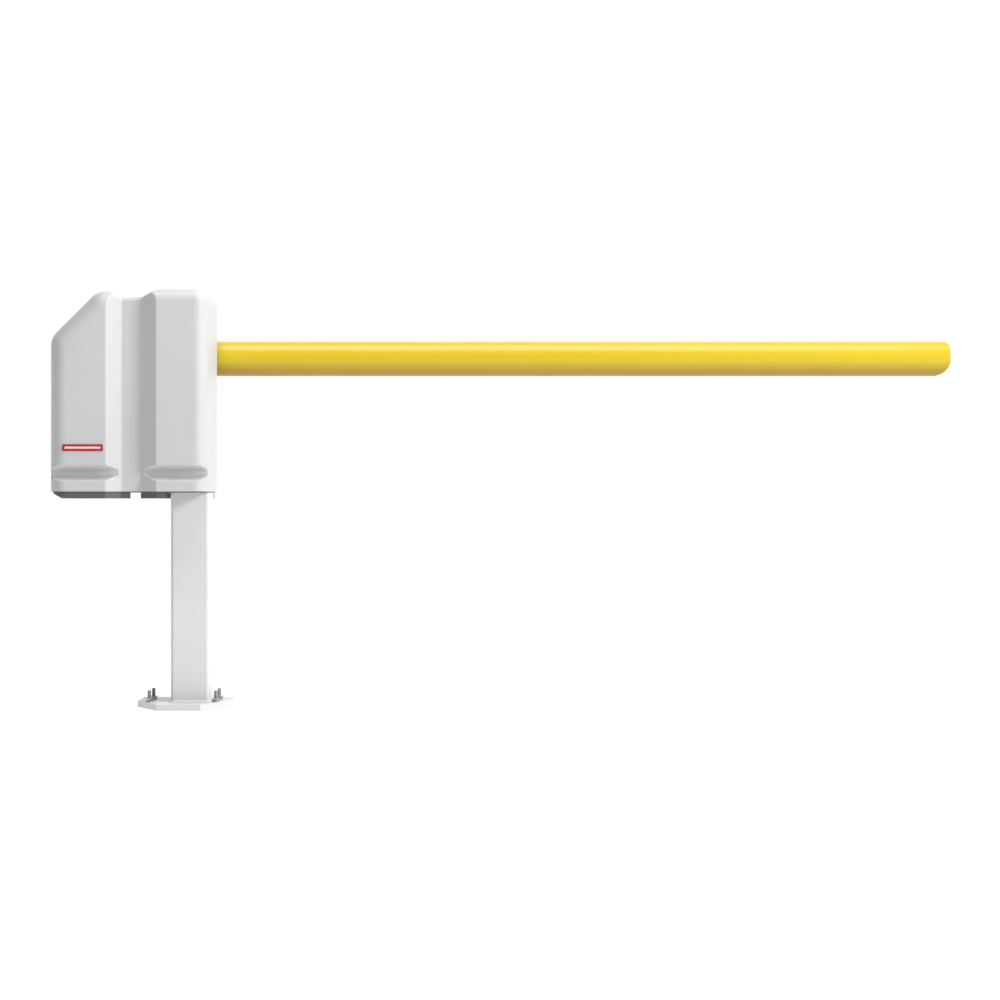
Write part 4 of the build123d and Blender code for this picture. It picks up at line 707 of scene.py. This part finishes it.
def lid_ribs():
    """A raised panel and two stiffening ribs moulded in the control box lid."""
    low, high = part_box("control_lid")
    face_y = low[1]
    panel_inset_x, panel_inset_z = 22 * MM, 20 * MM
    rib_inset_x, rib_inset_z, rib_w = 32 * MM, 60 * MM, 5 * MM
    panel_front, panel_rear, panel_bevel = face_y - 1.4 * MM, face_y + 0.5 * MM, 1.2 * MM
    rib_front, rib_rear, rib_bevel = face_y - 2.6 * MM, face_y - 1.0 * MM, 0.7 * MM
    bm = bmesh.new()
    panel_low = (low[0] + panel_inset_x, panel_front, low[2] + panel_inset_z)
    panel_high = (high[0] - panel_inset_x, panel_rear, high[2] - panel_inset_z)
    block(bm, panel_low, panel_high, panel_bevel)
    for z in (low[2] + rib_inset_z, high[2] - rib_inset_z):
        rib_low = (low[0] + rib_inset_x, rib_front, z)
        rib_high = (high[0] - rib_inset_x, rib_rear, z + rib_w)
        block(bm, rib_low, rib_high, rib_bevel)
    piece("control_lid_panel", bm, "box_grey", "chassis")


# ---------------------------------------------------------------- batteries

BATTERY_W = 65 * MM
TERMINAL_H = 7 * MM
VENT_CAP_H = 1.4 * MM


def battery_lids():
    """The lid seam and the six vent caps of each battery."""
    low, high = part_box("batteries")
    top = high[2] - TERMINAL_H
    proud, sunk = 0.5 * MM, 0.5 * MM
    seam_foot, seam_head = top - 17 * MM, top - 15.5 * MM
    cap_inset, cap_pitch = 32 * MM, 20 * MM
    cap_r, cap_chamfer_r, cap_side_h = 6 * MM, 5.2 * MM, 0.9 * MM
    cap_profile = [(cap_r, -sunk), (cap_r, cap_side_h), (cap_chamfer_r, VENT_CAP_H), (0, VENT_CAP_H)]
    bm = bmesh.new()
    for left in (low[0], high[0] - BATTERY_W):
        seam_low = (left - proud, low[1] - proud, seam_foot)
        seam_high = (left + BATTERY_W + proud, high[1] + proud, seam_head)
        block(bm, seam_low, seam_high, proud)
        for cap in range(6):
            middle = (left + cap_inset, low[1] + cap_inset + cap * cap_pitch, top)
            lathe(bm, cap_profile, frame_at(middle, (0, 0, 1)), 24)
    piece("battery_lids", bm, "battery_case", "chassis")


def battery_strap():
    """The hold-down strap: over both batteries and down their outer sides."""
    low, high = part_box("batteries")
    top = high[2] - TERMINAL_H
    middle = (low[1] + high[1]) / 2
    half_width, thickness, bevel = 12 * MM, 1.6 * MM, 0.4 * MM
    gap, foot_h = 1.2 * MM, 22 * MM
    front, rear = middle - half_width, middle + half_width
    left, right = low[0] - gap, high[0] + gap
    strap_foot = top + VENT_CAP_H
    strap_top = strap_foot + thickness
    foot = low[2] + foot_h
    bm = bmesh.new()
    block(bm, (left, front, strap_foot), (right, rear, strap_top), bevel)
    for x in (left - thickness / 2, right - thickness / 2):
        block(bm, (x, front, foot), (x + thickness, rear, strap_top), bevel)
    piece("battery_strap", bm, "black_rubber", "chassis")


# ---------------------------------------------------------------- motor and gearbox

def motor_ribs():
    """Two clamp bands and the cooling ribs round the motor's can."""
    low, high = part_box("motor_can")
    centre_x, centre_y = (low[0] + high[0]) / 2, (low[1] + high[1]) / 2
    band_root, band_r, band_w, band_chamfer = 42.8 * MM, 43.9 * MM, 9 * MM, 0.4 * MM
    band_profile = [
        (band_root, 0), (band_r, band_chamfer), (band_r, band_w - band_chamfer), (band_root, band_w)
    ]
    band_feet = (low[2] + 18 * MM, low[2] + 104 * MM)
    rib_root, rib_tip, rib_length = 42.7 * MM, 44.2 * MM, 66 * MM
    rib_foot = frame_at((centre_x, centre_y, low[2] + 32 * MM), (0, 0, 1))
    root_half, tip_half = 1.1 * MM, 0.6 * MM
    rib_outline = [(rib_root, -root_half), (rib_tip, -tip_half), (rib_tip, tip_half), (rib_root, root_half)]
    ribs = 36
    bm = bmesh.new()
    for z in band_feet:
        lathe(bm, band_profile, frame_at((centre_x, centre_y, z), (0, 0, 1)), 96)
    for rib in range(ribs):
        turn = 2 * math.pi * rib / ribs
        place = rib_foot @ Matrix.Rotation(turn, 4, "Z")
        bottom, top = [], []
        for z, corners in ((0.0, bottom), (rib_length, top)):
            corners.extend(bm.verts.new(place @ Vector((out, side, z))) for out, side in rib_outline)
        for step in range(3):
            bm.faces.new((bottom[step], bottom[step + 1], top[step + 1], top[step]))
        bm.faces.new(bottom)
        bm.faces.new(top[::-1])
    piece("motor_ribs", bm, "motor_black", "chassis")


def end_bell_screws():
    """Four screws in the underside of the motor's end bell."""
    can_low, can_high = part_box("motor_can")
    centre_x, centre_y = (can_low[0] + can_high[0]) / 2, (can_low[1] + can_high[1]) / 2
    bell_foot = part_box("motor_end_bell")[0][2]
    circle_r, head_r, head_h = 30 * MM, 3.4 * MM, 2.2 * MM
    bm = bmesh.new()
    for screw in range(4):
        turn = math.radians(45 + 90 * screw)
        spot = (centre_x + circle_r * math.cos(turn), centre_y + circle_r * math.sin(turn), bell_foot)
        pan_screw(bm, spot, (0, 0, -1), head_r, head_h, screw)
    piece("end_bell_screws", bm, "fastener_zinc", "chassis")


SOCKET_HEAD_R, SOCKET_HEAD_H = 4.2 * MM, 4 * MM


def socket_screw(bm, place):
    """Adds a socket head with a knurled side, a chamfered rim and a hexagon recess."""
    steps = 48
    knurl_depth = 0.18 * MM
    side_h, recess_floor = 3.5 * MM, 1.6 * MM
    # shares of the head's radius: its chamfered rim, and the recess's mouth and floor
    rim, mouth, floor_share = 0.93, 0.62, 0.58
    rows = []
    for scale, height in ((1.0, 0.0), (1.0, side_h), (rim, SOCKET_HEAD_H)):
        row = []
        for step in range(steps):
            angle = 2 * math.pi * step / steps
            radius = SOCKET_HEAD_R - (knurl_depth if step % 2 else 0.0)
            row.append(bm.verts.new(place @ polar(radius * scale, angle, height)))
        rows.append(row)
    for scale, height in ((mouth, SOCKET_HEAD_H), (floor_share, recess_floor)):
        row = []
        for step in range(steps):
            angle = 2 * math.pi * step / steps
            off_flat = (angle % math.radians(60)) - math.radians(30)
            radius = SOCKET_HEAD_R * scale * math.cos(math.radians(30)) / math.cos(off_flat)
            row.append(bm.verts.new(place @ polar(radius, angle, height)))
        rows.append(row)
    for low, high in zip(rows, rows[1:]):
        join_rings(bm, low, high)
    bm.faces.new(rows[-1])


def gearbox_socket_screws():
    """The six socket screws round the gearbox cover."""
    face_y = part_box("gearbox_bolts")[0][1] + SOCKET_HEAD_H
    circle_r = 54 * MM
    bm = bmesh.new()
    for screw in range(6):
        turn = math.radians(15 + 60 * screw)
        spot = (SHAFT_X + circle_r * math.cos(turn), face_y, SHAFT_Z + circle_r * math.sin(turn))
        socket_screw(bm, frame_at(spot, (0, -1, 0)))
    obj = piece("gearbox_socket_screws", bm, "fastener_zinc", "chassis", smooth_angle=25.0)
    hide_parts("gearbox_bolts")


anchor_threads()
weld_bead()
back_screws()
lid_screws()
lid_ribs()
battery_lids()
battery_strap()
motor_ribs()
end_bell_screws()
gearbox_socket_screws()


# ---------------------------------------------------------------- camera, light, floor

CAMERA_PLACE = (0.810, -6.320, 0.544)
SENSOR_WIDTH, LENS = 36.0, 86.4
CLIP_END = 60.0

# area lights: place, target, width and height in metres, and power in watts
LIGHTS = {
    "key": ((6.05, -3.5, 3.4), (0.4, 0.0, 0.7), (1.8, 1.8), 390.0),
    "overhead": ((0.8, -0.8, 4.2), (0.8, 0.1, 0.9), (3.6, 2.0), 120.0),
}

# the surround's strength on the camera's side and behind the gate, and the Y of the directions
# between which it changes
FRONT_STRENGTH, REAR_STRENGTH = 0.12, 1.0
FRONT_Y, REAR_Y = -0.2, 0.9

FLOOR_GREY, FLOOR_GLOW = (0.3, 0.3, 0.3), 0.88
WHITE = (1.0, 1.0, 1.0, 1.0)


def camera():
    """A long lens in front of the gate, level with the middle of its height."""
    data = bpy.data.cameras.new("camera")
    data.sensor_width = SENSOR_WIDTH
    data.lens = LENS
    data.clip_end = CLIP_END
    obj = bpy.data.objects.new("camera", data)
    bpy.context.scene.collection.objects.link(obj)
    obj.location = CAMERA_PLACE
    obj.rotation_euler = (math.radians(90), 0, 0)
    bpy.context.scene.camera = obj


def area_light(name, location, target, size, power):
    data = bpy.data.lights.new(name, "AREA")
    data.shape = "RECTANGLE"
    data.size, data.size_y = size
    data.energy = power
    obj = bpy.data.objects.new(name, data)
    bpy.context.scene.collection.objects.link(obj)
    obj.location = location
    direction = Vector(target) - Vector(location)
    obj.rotation_euler = direction.to_track_quat("-Z", "Y").to_euler()


def world():
    """A quiet surround, white behind the gate and grey on the camera's side."""
    scene_world = bpy.data.worlds.new("studio")
    scene_world.use_nodes = True
    tree = scene_world.node_tree
    background = tree.nodes["Background"]
    where = tree.nodes.new("ShaderNodeTexCoord").outputs["Generated"]
    split = tree.nodes.new("ShaderNodeSeparateXYZ")
    tree.links.new(where, split.inputs["Vector"])
    ramp = tree.nodes.new("ShaderNodeMapRange")
    ramp.interpolation_type = "SMOOTHSTEP"
    ramp.inputs["From Min"].default_value = FRONT_Y
    ramp.inputs["From Max"].default_value = REAR_Y
    ramp.inputs["To Min"].default_value = FRONT_STRENGTH
    ramp.inputs["To Max"].default_value = REAR_STRENGTH
    tree.links.new(split.outputs["Y"], ramp.inputs["Value"])
    tree.links.new(ramp.outputs["Result"], background.inputs["Strength"])
    background.inputs["Color"].default_value = WHITE
    bpy.context.scene.world = scene_world


def floor():
    """A pale table that glows white and curves up into a wall well behind the gate."""
    mesh = bpy.data.meshes.new("floor")
    bm = bmesh.new()
    front, turn, floor_half_width = -90.0, 5.0, 90.0
    wall_half_width, radius, wall_top = 14.0, 2.5, 9.0
    steps = 14
    profile = [(front, 0.0, floor_half_width), (turn, 0.0, floor_half_width)]
    for step in range(1, steps + 1):
        angle = math.radians(90) * step / steps
        profile.append((turn + radius * math.sin(angle), radius * (1 - math.cos(angle)), wall_half_width))
    profile.append((turn + radius, wall_top, wall_half_width))
    rows = [[bm.verts.new((x, y, z)) for x in (-half_width, half_width)] for y, z, half_width in profile]
    for lower, upper in zip(rows, rows[1:]):
        bm.faces.new((lower[0], lower[1], upper[1], upper[0]))
    bm.to_mesh(mesh)
    bm.free()
    for polygon in mesh.polygons:
        polygon.use_smooth = True
    obj = bpy.data.objects.new("floor", mesh)
    bpy.context.scene.collection.objects.link(obj)
    paint = Paint("floor_pale", FLOOR_GREY, roughness=0.9)
    paint.vary_roughness(paint.noise(2.0), low=0.85, high=0.95)
    paint.set("Specular IOR Level", 0.0)
    paint.set("Emission Color", WHITE)
    paint.set("Emission Strength", FLOOR_GLOW)
    mesh.materials.append(paint.material)


camera()
world()
floor()
for light_name, (place, target, size, power) in LIGHTS.items():
    area_light(light_name, place, target, size, power)

scene = bpy.context.scene
scene.view_settings.view_transform = "Standard"
scene.view_settings.look = "None"
